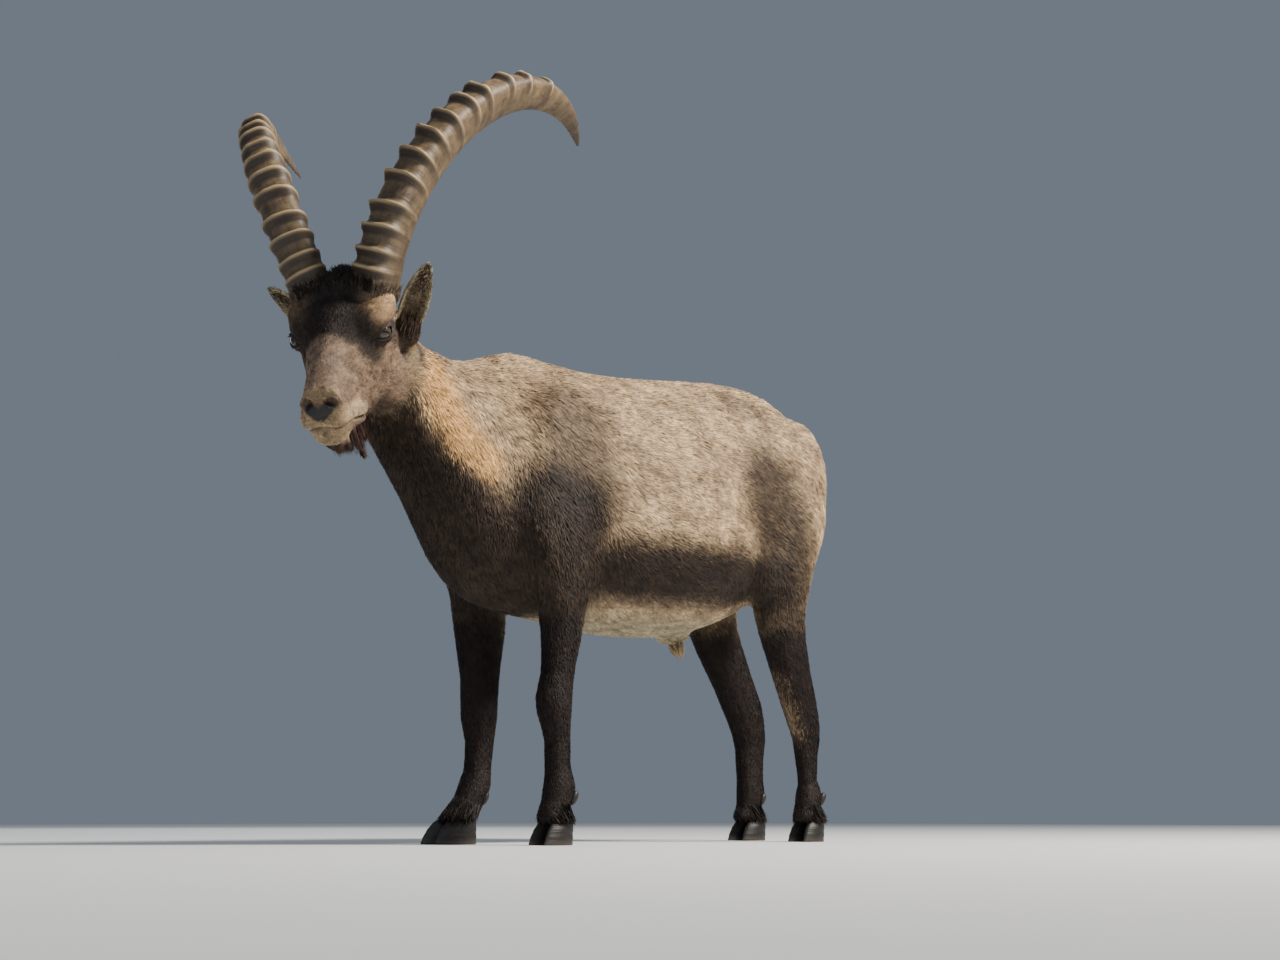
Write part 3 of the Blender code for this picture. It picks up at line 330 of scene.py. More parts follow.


# What the hide and the coat both carry: where the hair is dark, cream, golden, grey or bare, and where shade
# or a highlight is painted into it. Each mark is drawn from places on the standing animal, so it runs on from
# the skin into every tuft that grows there.
def markings(points):
    stand, head, share = shares_of(points)
    x, y, z = np.abs(stand[:, 0]), stand[:, 1], stand[:, 2]
    wide, ahead, up = np.abs(head[:, 0]), head[:, 1], head[:, 2]
    body = (1 - share["face"]) * (1 - share["ear"])
    fore = [(0.105, -0.33, 0.50), (0.105, -0.33, 0.0)]
    hind = [(0.115, 0.22, 0.46), (0.112, 0.32, 0.38), (0.108, 0.40, 0.23), (0.108, 0.36, 0.0)]
    legs = near_lines(stand, both(fore) + both(hind), 0.075, 0.110) * (1 - smoothstep(z, 0.40, 0.53))
    shoulder = near_lines(stand, both([(0.14, -0.36, 0.57), (0.12, -0.39, 0.50), (0.11, -0.34, 0.46)]),
                          0.085, 0.150)
    chest = near_lines(stand, [[(-0.01, -0.56, 0.62), (0, -0.50, 0.54), (0, -0.44, 0.45)]], 0.105, 0.165)
    throat = near_lines(stand, [[(-0.03, -0.67, 0.80), (-0.02, -0.63, 0.70), (0, -0.55, 0.59)]], 0.078, 0.106)
    stripe = near_lines(stand, both([(0.15, -0.27, 0.49), (0.18, -0.14, 0.486), (0.185, 0.00, 0.486),
                                     (0.165, 0.13, 0.485), (0.15, 0.20, 0.50)]), 0.045, 0.098)
    croup = near_lines(stand, both([(0.095, 0.13, 0.86), (0.100, 0.18, 0.84)]), 0.012, 0.055)
    thigh = near_lines(stand, both([(0.165, 0.17, 0.68), (0.150, 0.22, 0.57), (0.130, 0.24, 0.47)]),
                       0.045, 0.140)
    marks = {}
    # Legs, lower shoulder, chest, throat and flank stripe carry dark brown hair, coloured deeper still as
    # painted shade.
    marks["dark"] = np.max([legs, 0.95 * shoulder, 0.95 * chest, 0.88 * throat, 0.96 * stripe, 0.45 * croup,
                            0.86 * thigh * smoothstep(x, 0.06, 0.11), share["tail"]], axis=0) * body
    # The underside is pale cream, dulled as painted shade under the belly.
    under = (1 - smoothstep(z, 0.405, 0.440)) * smoothstep(y, -0.34, -0.26) * (1 - smoothstep(y, 0.17, 0.23))
    groin = near_lines(stand, both([(0.035, 0.20, 0.44), (0.035, 0.26, 0.42)]), 0.025, 0.050)
    groin *= 1 - smoothstep(x, 0.060, 0.085)
    rump = near_lines(stand, both([(0.020, 0.44, 0.70), (0.060, 0.43, 0.60), (0.090, 0.40, 0.48)]),
                      0.036, 0.078)
    marks["pale"] = np.maximum(under, groin) * (1 - smoothstep(x, 0.125, 0.165)) * body
    marks["pale"] *= 1 - near_lines(stand, both(hind[1:]) + both(fore), 0.04, 0.06)
    marks["buff"] = rump * body * (1 - share["tail"])
    marks["dark"] *= 1 - 0.85 * marks["buff"]
    neck_side = both([(0.055, -0.600, 0.850), (0.080, -0.575, 0.770), (0.092, -0.540, 0.710),
                      (0.104, -0.495, 0.675)])
    marks["gold"] = near_lines(stand, neck_side, 0.020, 0.046) * body
    marks["dark"] *= 1 - 0.85 * marks["gold"]
    marks["grey"] = near_lines(stand, both([(0.13, -0.32, 0.77), (0.15, -0.31, 0.64)]), 0.045, 0.110) * body
    face = share["face"]
    brow = ((wide - 0.074) / 0.031) ** 2 + ((ahead - 0.036) / 0.050) ** 2 + ((up + 0.022) / 0.036) ** 2
    brow = np.exp(-brow ** 1.5)
    # The right brow is dimmed: painted shade on the right side of the head, so the black of the forehead also
    # reaches further there.
    brow *= 0.40 + 0.60 * smoothstep(head[:, 0], -0.040, 0.020)
    front = smoothstep(up, -0.100, -0.060) * (1 - smoothstep(ahead + 0.25 * wide, 0.130, 0.150))
    inner_eye = near_lines(head, both([(0.072, 0.100, -0.048), (0.058, 0.122, -0.050),
                                       (0.064, 0.110, -0.076)]), 0.011, 0.024)
    rims = [np.linalg.norm(points - np.array(eye[0]), axis=1) for eye in eye_frames.values()]
    inner_eye = np.maximum(inner_eye, 1 - smoothstep(np.min(rims, axis=0), 0.0225, 0.0285))
    marks["black"] = np.maximum(front * (1 - 0.95 * np.clip(brow * 1.2, 0, 1)), 0.85 * inner_eye) * face
    marks["black"] = np.maximum(marks["black"], near_lines(head, both(MOUTH), 0.0024, 0.0052) * face)
    # Behind the root of each ear, and in front of the left one, the hair is darkened: painted shade that
    # carries on the shade inside the ear.
    behind_ear = near_lines(head, both([(0.096, -0.032, -0.108), (0.092, -0.014, -0.130),
                                        (0.086, 0.000, -0.148)]), 0.022, 0.032)
    before_ear = near_line(head, [(0.094, -0.020, -0.098), (0.088, 0.010, -0.100), (0.087, 0.026, -0.096)],
                           0.018, 0.030)
    marks["root"] = np.maximum(behind_ear, before_ear) * (1 - share["ear"])
    marks["rosy"] = near_line(head, [(0, 0.135, -0.008), (0, 0.215, -0.030)], 0.024, 0.050) * face
    marks["rosy"] *= 1 - marks["black"]
    lips = near_lines(head, both([(0.046, 0.205, -0.112), (0.036, 0.245, -0.098), (0.014, 0.272, -0.088)]),
                      0.010, 0.024)
    chin = near_line(head, [(0, 0.262, -0.125), (0, 0.235, -0.140)], 0.028, 0.040)
    # A pale line down the rear edge of each cheek is a painted highlight where light catches the edge of the
    # jaw, carried in the cream mark.
    jaw_edge_highlight = near_lines(head, both([(0.093, 0.000, -0.145), (0.092, 0.024, -0.163), (0.091, 0.056, -0.193),
                                 (0.086, 0.080, -0.222)]), 0.006, 0.016)
    top = near_lines(head, both([(0.004, 0.252, -0.040), (0.026, 0.242, -0.050)]), 0.008, 0.020)
    marks["cream"] = np.max([lips, 0.75 * chin, 0.95 * jaw_edge_highlight, 0.65 * top], axis=0) * face
    # Under the jaw the hair is darker: partly its own dark brown and partly painted shade beneath the jaw.
    under_jaw_dark_and_shade = near_lines(head, both([(0.024, 0.165, -0.172), (0.040, 0.110, -0.205),
                                       (0.052, 0.050, -0.240)]), 0.022, 0.048)
    marks["black"] = np.maximum(marks["black"], 0.62 * under_jaw_dark_and_shade * face)
    marks["pad"] = near_lines(head, NOSE_PAD, 0.0085, 0.0140) * face
    beard = near_line(head, [(0, 0.235, -0.175), (0, 0.205, -0.185), (0, 0.145, -0.225)], 0.034, 0.045)
    marks["beard"] = beard * (1 - smoothstep(up, -0.165, -0.148))
    marks["ear"] = share["ear"] * (1 - share["ear_inside"])
    marks["brow"] = np.clip(brow, 0, 1) * face
    return {**marks, "inside": share["ear_inside"], "ear_rim": share["ear_rim"],
            "ear_deep": share["ear_deep"], "face": face}


def add_marks(mesh, marks):
    for name, values in marks.items():
        mesh.attributes.new(name, "FLOAT", "POINT").data.foreach_set("value", values.astype(np.float32))


def shade_smooth(mesh):
    mesh.polygons.foreach_set("use_smooth", np.ones(len(mesh.polygons), bool))


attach(hide, "root")
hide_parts(*FLESH)

# The hide keeps all its faces on the head, where it is folded finest, and fewer over the smooth body.
head_group = hide.vertex_groups.new(name="smooth")
share = shares_of(read_points(hide))[2]
fine = np.max([share["face"], 0.75 * share["ear"], 0.5 * share["foot"]], axis=0)
for level in range(5):
    chosen = np.flatnonzero((fine >= level * 0.2) & (fine < level * 0.2 + (0.2 if level < 4 else 1)))
    head_group.add(chosen.tolist(), 1 - level * 0.24, "REPLACE")
fewer = hide.modifiers.new("fewer", "DECIMATE")
fewer.vertex_group = "smooth"
fewer.ratio = HIDE_FACES / len(hide.data.polygons)
fewer.use_collapse_triangulate = True
settle(hide)
hide.vertex_groups.clear()
shade_smooth(hide.data)
add_marks(hide.data, markings(read_points(hide)))


def linear(code):
    """The linear colour of an sRGB hex value."""
    parts = [int(code[i:i + 2], 16) / 255 for i in (1, 3, 5)]
    return (*[c / 12.92 if c <= 0.04045 else ((c + 0.055) / 1.055) ** 2.4 for c in parts], 1)


def own_input(node, name):
    """The input in use of this name. A name that ends in _ means the last of several alike."""
    found = [own for own in node.inputs if own.name == name.replace("_", " ").strip() and own.enabled]
    return found[-1 if name.endswith("_") else 0]


def join(tree, node, **links):
    for name, socket in links.items():
        tree.links.new(socket, own_input(node, name))


def add(tree, kind, settings=None, output=None, **links):
    """Add a node and give back its output: the first in use, or the one named. A setting named like an
    input sets that input, and a link joins a socket to that input."""
    node = tree.nodes.new("ShaderNode" + kind)
    own_settings = {name: value for name, value in (settings or {}).items() if hasattr(node, name)}
    for name, value in own_settings.items():
        setattr(node, name, value)
    for name, value in (settings or {}).items():
        if name not in own_settings:
            own_input(node, name).default_value = value
    join(tree, node, **links)
    return node.outputs[output] if output else next(own for own in node.outputs if own.enabled)


def new_material(name):
    """A material, its tree of nodes and the surface at the end of it."""
    made = bpy.data.materials.new(name)
    made.use_nodes = True
    return made, made.node_tree, made.node_tree.nodes["Principled BSDF"]


# Summer coat of short stiff guard hair, the colour of each hair fixed where it grows. The tan is broken by
# darker hair in patches some 60 mm and 9 mm across, as moulting leaves it, and by locks some 15 mm wide,
# drawn out along the hair. Over it lie the marks in this order, each with its colour and its strength.
COAT_TONES = [
    # dark is deeper than the hair's own dark brown, as painted shade on the legs, chest, throat and flank
    # stripe.
    ("grey", "#6d5b49", 0.85), ("gold", "#e6b473", 0.94), ("buff", "#d6bb93", 0.85), ("dark", "#1f1410", 1.0),
    # pale is dulled as painted shade under the belly; root is painted shade round the ears' roots.
    ("pale", "#a3967a", 1.0), ("face", "#7b6450", 1.0), ("brow", "#b5926a", 0.95), ("root", "#38281e", 0.92),
    # cream also carries a painted highlight along each jaw's rear edge; black also carries painted shade
    # under the jaw and on the right of the forehead.
    ("rosy", "#836d5c", 0.85), ("cream", "#ad9573", 0.9), ("black", "#1b1311", 0.96),
    ("beard", "#3d261c", 1.0), ("ear", "#8f7c66", 1.0), ("collar", "#2b1e19", 1.0), ("lap", "#6b5d4e", 1.0),
    ("tuft", "#a8926f", 1.0), ("inside", "#544539", 1.0), ("ear_rim", "#c9b894", 0.90),
    # painted shade deep in the cup of each ear
    ("ear_deep", "#221915", 0.92),
]


def hair_colour(tree, where):
    def toned(below, name, code, most):
        shown = add(tree, "Attribute", {"attribute_name": name}, "Fac")
        amount = add(tree, "Math", {"operation": "MULTIPLY", "Value_": most}, Value=shown)
        return add(tree, "Mix", {"data_type": "RGBA", "B": linear(code)}, Factor=amount, A=below)

    broad = add(tree, "TexNoise", {"Scale": 16.0, "Detail": 3.0, "Roughness": 0.6}, Vector=where)
    close = add(tree, "TexNoise", {"Scale": 110.0, "Detail": 2.0}, Vector=where)
    broad = add(tree, "MapRange", {"From Min": 0.40, "From Max": 0.60}, Value=broad)
    close = add(tree, "MapRange", {"From Min": 0.45, "From Max": 0.72, "To Max": 0.5}, Value=close)
    colour = add(tree, "Mix", {"data_type": "RGBA", "A": linear("#cdb08a"), "B": linear("#a68b6d")},
                 Factor=broad)
    colour = add(tree, "Mix", {"data_type": "RGBA", "B": linear("#7d6855")}, Factor=close, A=colour)
    for name, code, most in COAT_TONES:
        colour = toned(colour, name, code, most)
    # The hair varies from lock to lock, drawn out along its lie, and from tuft to tuft.
    drawn = add(tree, "Mapping", {"Rotation": (-0.35, 0, 0), "Scale": (1.0, 0.45, 1.0)}, Vector=where)
    flecks = add(tree, "TexNoise", {"Scale": 66.0, "Detail": 4.0, "Roughness": 0.65}, Vector=drawn)
    flecks = add(tree, "MapRange", {"From Min": 0.36, "From Max": 0.64, "To Min": 1.0, "To Max": -1.0},
                 Value=flecks)
    face, tone = (add(tree, "Attribute", {"attribute_name": name}, "Fac") for name in ("face", "tone"))
    by_lock = add(tree, "MapRange", {"To Min": 0.28, "To Max": 0.36}, Value=face)
    by_lock = add(tree, "Math", {"operation": "MULTIPLY"}, Value=flecks, Value_=by_lock)
    by_lock = add(tree, "Math", {"operation": "ADD", "Value_": 0.98}, Value=by_lock)
    by_tuft = add(tree, "MapRange", {"To Min": 0.40, "To Max": 0.44}, Value=face)
    by_tuft = add(tree, "Math", {"operation": "MULTIPLY"}, Value=tone, Value_=by_tuft)
    shade = add(tree, "Math", {"operation": "ADD"}, Value=by_lock, Value_=by_tuft)
    shade = add(tree, "CombineColor", {}, Red=shade, Green=shade, Blue=shade)
    colour = add(tree, "Mix", {"data_type": "RGBA", "blend_type": "MULTIPLY", "Factor": 1.0},
                 A=colour, B=shade)
    return toned(colour, "pad", "#0e0a0a", 1.0)


# Tanned hide under the hair: fine pores and creases about 2 mm apart, moist and darker on the nose and lips.
skin, tree, shell = new_material("hide under summer hair")
where = add(tree, "NewGeometry")
colour = add(tree, "Mix", {"data_type": "RGBA", "blend_type": "MULTIPLY", "Factor": 1.0,
                           "B": (0.62, 0.60, 0.58, 1)}, A=hair_colour(tree, where))
wet = add(tree, "Attribute", {"attribute_name": "pad"}, "Fac")
pores = add(tree, "TexVoronoi", {"Scale": 480.0}, Vector=where)
join(tree, shell, Base_Color=colour,
     Roughness=add(tree, "MapRange", {"To Min": 0.80, "To Max": 0.46}, Value=wet),
     Normal=add(tree, "Bump", {"Strength": 0.45, "Distance": 0.0007}, Height=pores))
hide.data.materials.append(skin)


# Each eye is a wet ball with an amber iris and a level slit pupil, bulging at the front. It sits in its
# socket behind two lids, whose dark bare rims lie on it.
wet_eye, tree, shell = new_material("wet amber eye")
across, upward = (add(tree, "Attribute", {"attribute_name": name}, "Fac") for name in ("across", "upward"))
here = add(tree, "CombineXYZ", {}, X=across, Y=upward)
from_middle = add(tree, "VectorMath", {"operation": "LENGTH"}, Vector=here)
round_it = add(tree, "Math", {"operation": "ARCTAN2"}, Value=across, Value_=upward)
rays_at = add(tree, "CombineXYZ", {}, X=round_it)
rays = add(tree, "TexNoise", {"Scale": 9.0, "Detail": 3.0}, Vector=rays_at)
iris = add(tree, "Mix", {"data_type": "RGBA", "A": linear("#35281b"), "B": linear("#54442c")}, Factor=rays)
edge = add(tree, "MapRange", {"From Min": 0.0096, "From Max": 0.0128}, Value=from_middle)
colour = add(tree, "Mix", {"data_type": "RGBA", "B": linear("#1c1310")}, Factor=edge, A=iris)
wide_part = add(tree, "Math", {"operation": "DIVIDE", "Value_": 0.0074}, Value=across)
tall_part = add(tree, "Math", {"operation": "DIVIDE", "Value_": 0.0036}, Value=upward)
slit_at = add(tree, "CombineXYZ", {}, X=wide_part, Y=tall_part)
slit = add(tree, "VectorMath", {"operation": "LENGTH"}, Vector=slit_at)
slit = add(tree, "MapRange", {"From Min": 1.08, "From Max": 0.92}, Value=slit)
colour = add(tree, "Mix", {"data_type": "RGBA", "B": linear("#080707")}, Factor=slit, A=colour)
join(tree, shell, Base_Color=colour)
for name, value in (("Roughness", 0.09), ("IOR", 1.38), ("Coat Weight", 0.6), ("Coat Roughness", 0.04)):
    shell.inputs[name].default_value = value

# Bare lid skin: nearly black, creased along the rim every millimetre or so, and damp at the edge.
lid_skin, tree, shell = new_material("bare dark lid skin")
fold = add(tree, "Attribute", {"attribute_name": "fold"}, "Fac")
creases = add(tree, "TexNoise", {"Scale": 650.0, "Detail": 3.0}, Vector=add(tree, "NewGeometry"))
rimmed = add(tree, "MapRange", {"From Min": 0.25, "From Max": 0.75}, Value=fold)
colour = add(tree, "Mix", {"data_type": "RGBA", "A": linear("#15100f"), "B": linear("#33261f")},
             Factor=rimmed)
join(tree, shell, Base_Color=colour,
     Roughness=add(tree, "MapRange", {"To Min": 0.30, "To Max": 0.75}, Value=fold),
     Normal=add(tree, "Bump", {"Strength": 0.5, "Distance": 0.0006}, Height=creases))


def lofted(name, rings, caps=True):
    """A closed skin through rings of equally many points."""
    count = len(rings[0])
    faces = []
    for i in range(len(rings) - 1):
        for j in range(count):
            a, b = i * count + j, i * count + (j + 1) % count
            faces.append((a, b, b + count, a + count))
    if caps:
        faces.append(tuple(range(count - 1, -1, -1)))
        faces.append(tuple(len(rings) * count - count + j for j in range(count)))
    mesh = bpy.data.meshes.new(name)
    mesh.from_pydata([tuple(p) for ring in rings for p in ring], [], faces)
    made = bmesh.new()
    made.from_mesh(mesh)
    bmesh.ops.recalc_face_normals(made, faces=made.faces)
    made.to_mesh(mesh)
    made.free()
    shade_smooth(mesh)
    return new_object(name, mesh)


EYE_SIDES = 48
LID_SIDES = 56
# Half the height of the opening above and below its middle
UPPER_LID, LOWER_LID = 0.0076, 0.0088
for side in SIDES:
    centre, out, along, high = eye_frames[side]
    # The slit lies level with the ground, and the iris looks a little forward of the socket's way out.
    look = (out + along * 0.10 + high * 0.02).normalized()
    level = (Vector((0, 0, 1)) - look * look.z).normalized()
    flat = level.cross(look)
    rings, across, upward = [], [], []
    for turn in np.linspace(0.001, math.pi * 0.999, 33):
        ring = []
        for k in range(EYE_SIDES):
            spin = 2 * math.pi * k / EYE_SIDES
            bulge = 0.0007 * math.exp(-(turn / 0.55) ** 4)
            radius = EYE_RADIUS - 0.0001 + bulge
            x = radius * math.sin(turn) * math.cos(spin)
            y = radius * math.sin(turn) * math.sin(spin)
            ring.append(centre + look * radius * math.cos(turn) + flat * x + level * y)
            across.append(x if math.cos(turn) > 0 else 0.03)
            upward.append(y)
        rings.append(ring)
    ball = lofted("eyeball_" + side, rings)
    add_marks(ball.data, {"across": np.array(across), "upward": np.array(upward)})
    ball.data.materials.append(wet_eye)
    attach(ball, "root")
    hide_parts("eye_" + side)

    # The lids: from inside the opening out over the rim, and down to the hide.
    rings, folds = [], []
    for grow, rise, fold in ((0.93, -0.0006, 0), (0.97, 0.0006, 0), (1.00, 0.0017, 0.05), (1.06, 0.0027, 0.2),
                             (1.16, 0.0032, 0.5), (1.28, 0.0028, 0.8), (1.42, 0.0033, 1), (1.60, 0.0027, 1),
                             (1.82, 0.0010, 1), (2.00, -0.0016, 1)):
        ring = []
        for k in range(LID_SIDES):
            turn = 2 * math.pi * k / LID_SIDES
            c, s = math.cos(turn), math.sin(turn)
            reach = LID_OPENING * grow
            x = reach * c + (0.0022 * grow if c > 0.8 else 0) * (c - 0.8) * 5
            high_part = 0.35 + 0.65 * grow if grow > 1 else grow
            y = (LOWER_LID if s < 0 else UPPER_LID) * high_part * math.copysign(abs(s) ** 1.25, s)
            if s > 0:
                y += 0.0006 * grow
            # The upper lid folds once more above its rim.
            extra = 0.0016 * max(0.0, s) * math.exp(-((grow - 1.42) / 0.16) ** 2)
            extra -= 0.0010 * max(0.0, s) * math.exp(-((grow - 1.24) / 0.07) ** 2)
            radius = EYE_RADIUS + rise + extra
            deep = math.sqrt(max(radius ** 2 - x * x - y * y, 0.0))
            ring.append(centre + along * x + high * y + out * deep)
            folds.append(fold)
        rings.append(ring)
    lid = lofted("lids_" + side, rings, caps=False)
    add_marks(lid.data, {"fold": np.array(folds)})
    lid.data.materials.append(lid_skin)
    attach(lid, "root")
    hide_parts("head")


# Each horn is a hollow keratin sheath over a bone core: a broad front that carries a knob for most
# half-years of growth, fine growth lines between the knobs, and a smooth tip. It stands in the skull and
# pierces the hide.
HORN_LENGTH = 0.862
HORN_STEPS = 400
# The knobs from the root up: the share of the length each stands at, and how far it stands out
HORN_KNOBS = [
    (0.026, 0.0080), (0.060, 0.0100), (0.105, 0.0120), (0.150, 0.0130), (0.214, 0.0135), (0.268, 0.0135),
    (0.323, 0.0132), (0.376, 0.0128), (0.435, 0.0122), (0.483, 0.0115), (0.570, 0.0100), (0.641, 0.0070),
    (0.731, 0.0050),
]
HORNS = {
    "left": {"spread": 0.057, "rise": 52.6, "lean": 15.6, "fan": 25.6,
             "curve": (2.66, -1.35, 2.05), "twist": -0.58},
    "right": {"spread": 0.055, "rise": 47.4, "lean": 19.4, "fan": 15.1,
              "curve": (2.63, -1.73, 1.57), "twist": -0.21},
}
HORNS_TURN = Matrix(head_frame(34.0, 47.0, 4.0)).transposed()


def horn_path(side):
    """Places along a horn, each with its own way along, way back and way out."""
    shape, way = HORNS[side], SIDES[side]
    rise, lean, fan = (math.radians(shape[word]) for word in ("rise", "lean", "fan"))
    ahead = Vector((0, -math.cos(rise), math.sin(rise)))
    back = Vector((0, -math.sin(rise), -math.cos(rise)))
    out = Vector((1, 0, 0))
    ahead, out = (ahead * math.cos(lean) + out * math.sin(lean) * way,
                  out * math.cos(lean) - ahead * math.sin(lean) * way)
    back, out = (back * math.cos(fan) + out * way * math.sin(fan),
                 out * math.cos(fan) - back * way * math.sin(fan))
    place = Vector((shape["spread"] * way, 0, 0))
    step = HORN_LENGTH / (HORN_STEPS - 1)
    found = []
    for k in range(HORN_STEPS):
        found.append((place.copy(), ahead.copy(), back.copy(), out.copy()))
        share = k / (HORN_STEPS - 1)
        bend = (shape["curve"][0] + shape["curve"][1] * share + shape["curve"][2] * share * share) * step
        ahead, back = (ahead * math.cos(bend) + back * math.sin(bend),
                       back * math.cos(bend) - ahead * math.sin(bend))
        twist = shape["twist"] * step * way
        back, out = (back * math.cos(twist) + out * math.sin(twist),
                     out * math.cos(twist) - back * math.sin(twist))
        place = place + ahead * step
    return found


def knob_height(share, odd):
    """How far the front stands out at each share of the horn, and how near it is to a knob's crest."""
    high, crest_near = 0.0, 0.0
    for (crest, size), unlike in zip(HORN_KNOBS, odd):
        far = (share - crest) * HORN_LENGTH
        slope = (0.0150 if far < 0 else 0.0105) * (0.7 + 25 * size)
        near = max(0.0, 1 - abs(far) / slope)
        high = max(high, size * (1.17 + 0.14 * unlike) * (near ** 1.15 if far < 0 else near ** 1.9))
        crest_near = max(crest_near, max(0.0, 1 - abs(far + 0.0005) / 0.0050))
    return high, crest_near


def horn_outline(c, s, front, rear, wide):
    """How far back and how far out the outline of a horn lies, blunt in front and narrower behind."""
    deep = -front * abs(s) ** 0.72 if s > 0 else rear * abs(s) ** 0.9
    return deep, wide * math.copysign(abs(c) ** 0.8, c) * (1 if s > 0 else 1 - 0.30 * abs(s))


# Horn keratin, grown and weathered: dull, warm grey, paler and rubbed smooth on the crests, with a painted
# highlight along them, darker on the sides, with painted shadow under each knob on its root side, with growth
# lines 1.5 mm apart and dark streaks along it.
keratin, tree, shell = new_material("weathered horn keratin")
crest, along, hollow = (add(tree, "Attribute", {"attribute_name": name}, "Fac")
                        for name in ("crest", "along", "hollow"))
# The grain's own places run 1 per metre along the horn and 1 per metre round it.
grain = add(tree, "Attribute", {"attribute_name": "grain"}, "Vector")
patches = add(tree, "TexNoise", {"Scale": 38.0, "Detail": 5.0, "Roughness": 0.65}, Vector=grain)
streaks_at = add(tree, "VectorMath", {"operation": "MULTIPLY", "Vector_": (1, 1, 0.10)}, Vector=grain)
streaks = add(tree, "TexNoise", {"Scale": 300.0, "Detail": 3.0}, Vector=streaks_at)
lines_at = add(tree, "VectorMath", {"operation": "MULTIPLY", "Vector_": (0.10, 0.10, 1)}, Vector=grain)
lines = add(tree, "TexNoise", {"Scale": 330.0, "Detail": 4.0, "Roughness": 0.7}, Vector=lines_at)
ridges = add(tree, "TexNoise", {"Scale": 95.0, "Detail": 2.0}, Vector=lines_at)
colour = add(tree, "ValToRGB", {}, Fac=patches)
low, high = colour.node.color_ramp.elements
low.position, high.position = 0.30, 0.72
low.color, high.color = linear("#46372a"), linear("#8a7454")
streaked = add(tree, "MapRange", {"From Min": 0.52, "From Max": 0.75, "To Max": 0.55}, Value=streaks)
lined = add(tree, "MapRange", {"From Min": 0.50, "From Max": 0.70, "To Max": 0.60}, Value=lines)
rooted = add(tree, "MapRange", {"From Min": 0.34, "From Max": 0.0, "To Max": 0.62}, Value=along)
off_crest = add(tree, "Math", {"operation": "SUBTRACT", "Value": 1.0}, Value_=crest)
rooted = add(tree, "Math", {"operation": "MULTIPLY"}, Value=rooted, Value_=off_crest)
tipped = add(tree, "MapRange", {"From Min": 0.80, "From Max": 1.0, "To Max": 0.72}, Value=along)
# The crests are paler, partly worn and partly a painted highlight; under each knob lies painted shadow.
for amount, code in ((streaked, "#33261c"), (lined, "#3d2f23"), (crest, "#c4ab80"), (hollow, "#261b14"),
                     (rooted, "#32261d"), (tipped, "#33271f")):
    colour = add(tree, "Mix", {"data_type": "RGBA", "B": linear(code)}, Factor=amount, A=colour)
height = add(tree, "Math", {"operation": "MULTIPLY_ADD"}, Value=lines, Value_=ridges)
height.node.inputs[1].default_value = 0.7
join(tree, shell, Base_Color=colour,
     Roughness=add(tree, "MapRange", {"To Min": 0.42, "To Max": 0.66}, Value=patches),
     Normal=add(tree, "Bump", {"Strength": 0.75, "Distance": 0.0016}, Height=height))

chance = np.random.default_rng(14)
HORN_SIDES = 48
HORN_RINGS = 300
for side, way in SIDES.items():
    path = horn_path(side)
    odd = chance.uniform(-1, 1, (len(HORN_KNOBS), 2))[:, 0]
    rings, crests, alongs, grains, hollows = [], [], [], [], []
    last = HORN_STEPS - 1
    for share in [-0.035, -0.02] + list(np.linspace(0, 1, HORN_RINGS)):
        at = min(last, max(0, round(share * last)))
        place, ahead, back, out = path[at]
        place = place + ahead * (share * last - at) / last * HORN_LENGTH
        share = max(0.0, min(share, 0.9985))
        thin = (1 - share ** 2.6) ** 0.75
        front, rear = 0.025 * thin + 0.002, 0.058 * thin + 0.002
        wide = 0.033 * (1 - share ** 1.8) ** 0.9 + 0.002
        knob, near = knob_height(share, odd)
        ring = []
        for k in range(HORN_SIDES):
            turn = 2 * math.pi * (k + 0.5) / HORN_SIDES
            c, s = math.cos(turn), math.sin(turn)
            # A knob leans over to one side or the other as it crosses the front.
            slant = share + 0.004 * c * math.sin(share * 19 + 2 * way)
            lift, close = knob_height(slant, odd) if s > -0.5 else (knob, near)
            deep, across = horn_outline(c, s, front, rear, wide)
            facing = max(0.0, s) ** 0.65
            deep -= lift * facing
            side_share = max(0.0, 1 - abs(s) * 0.85) ** 1.5 if s < 0.4 else 0.6
            across += math.copysign(lift * 0.34 * (1 - abs(s)) + lift * 0.28 * facing, c)
            across += math.copysign(0.0009 * math.sin(share * 560) * side_share, c) * thin
            ring.append(POLL + HORNS_TURN @ (place + back * deep + out * across))
            broad = max(0.0, s + 0.15) ** 0.5
            # Paler along each knob's crest across the front: worn, and a painted highlight.
            crests.append(min(1.0, close * 0.95 * broad) * 0.88)
            # Just below each knob's crest, on its root side, a painted shadow falls on the front.
            under = max(knob_height(slant + step, odd)[1] for step in (0.008, 0.013)) if s > -0.3 else 0.0
            hollows.append(0.88 * min(1.0, under * 1.3) * max(0.0, s + 0.2) ** 0.5)
            alongs.append(share)
            grains.append((c * wide * 1.2, s * wide * 1.2, share * HORN_LENGTH + 0.3 * way))
        rings.append(ring)
    horn = lofted("ibex_horn_" + side, rings)
    add_marks(horn.data, {"crest": np.array(crests), "along": np.array(alongs), "hollow": np.array(hollows)})
    horn.data.attributes.new("grain", "FLOAT_VECTOR", "POINT").data.foreach_set(
        "vector", np.array(grains, np.float32).reshape(-1))
    horn.data.materials.append(keratin)
    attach(horn, "root")
    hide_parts("horn_" + side)


# Each foot has two claws of black horn, flat on the ground, and two small dewclaws behind the pastern. The
# wall is ringed by growth and finely scratched. They are grown over the last bone of each toe.

# For each foot: its place on the ground, where it points in degrees, and the length of its claws
FEET = {
    "fore_left": (0.105, -0.372, 2.0, 0.072), "fore_right": (-0.122, -0.430, -20.0, 0.080),
    "hind_left": (0.108, 0.312, 4.0, 0.064), "hind_right": (-0.108, 0.370, -4.0, 0.064),
}
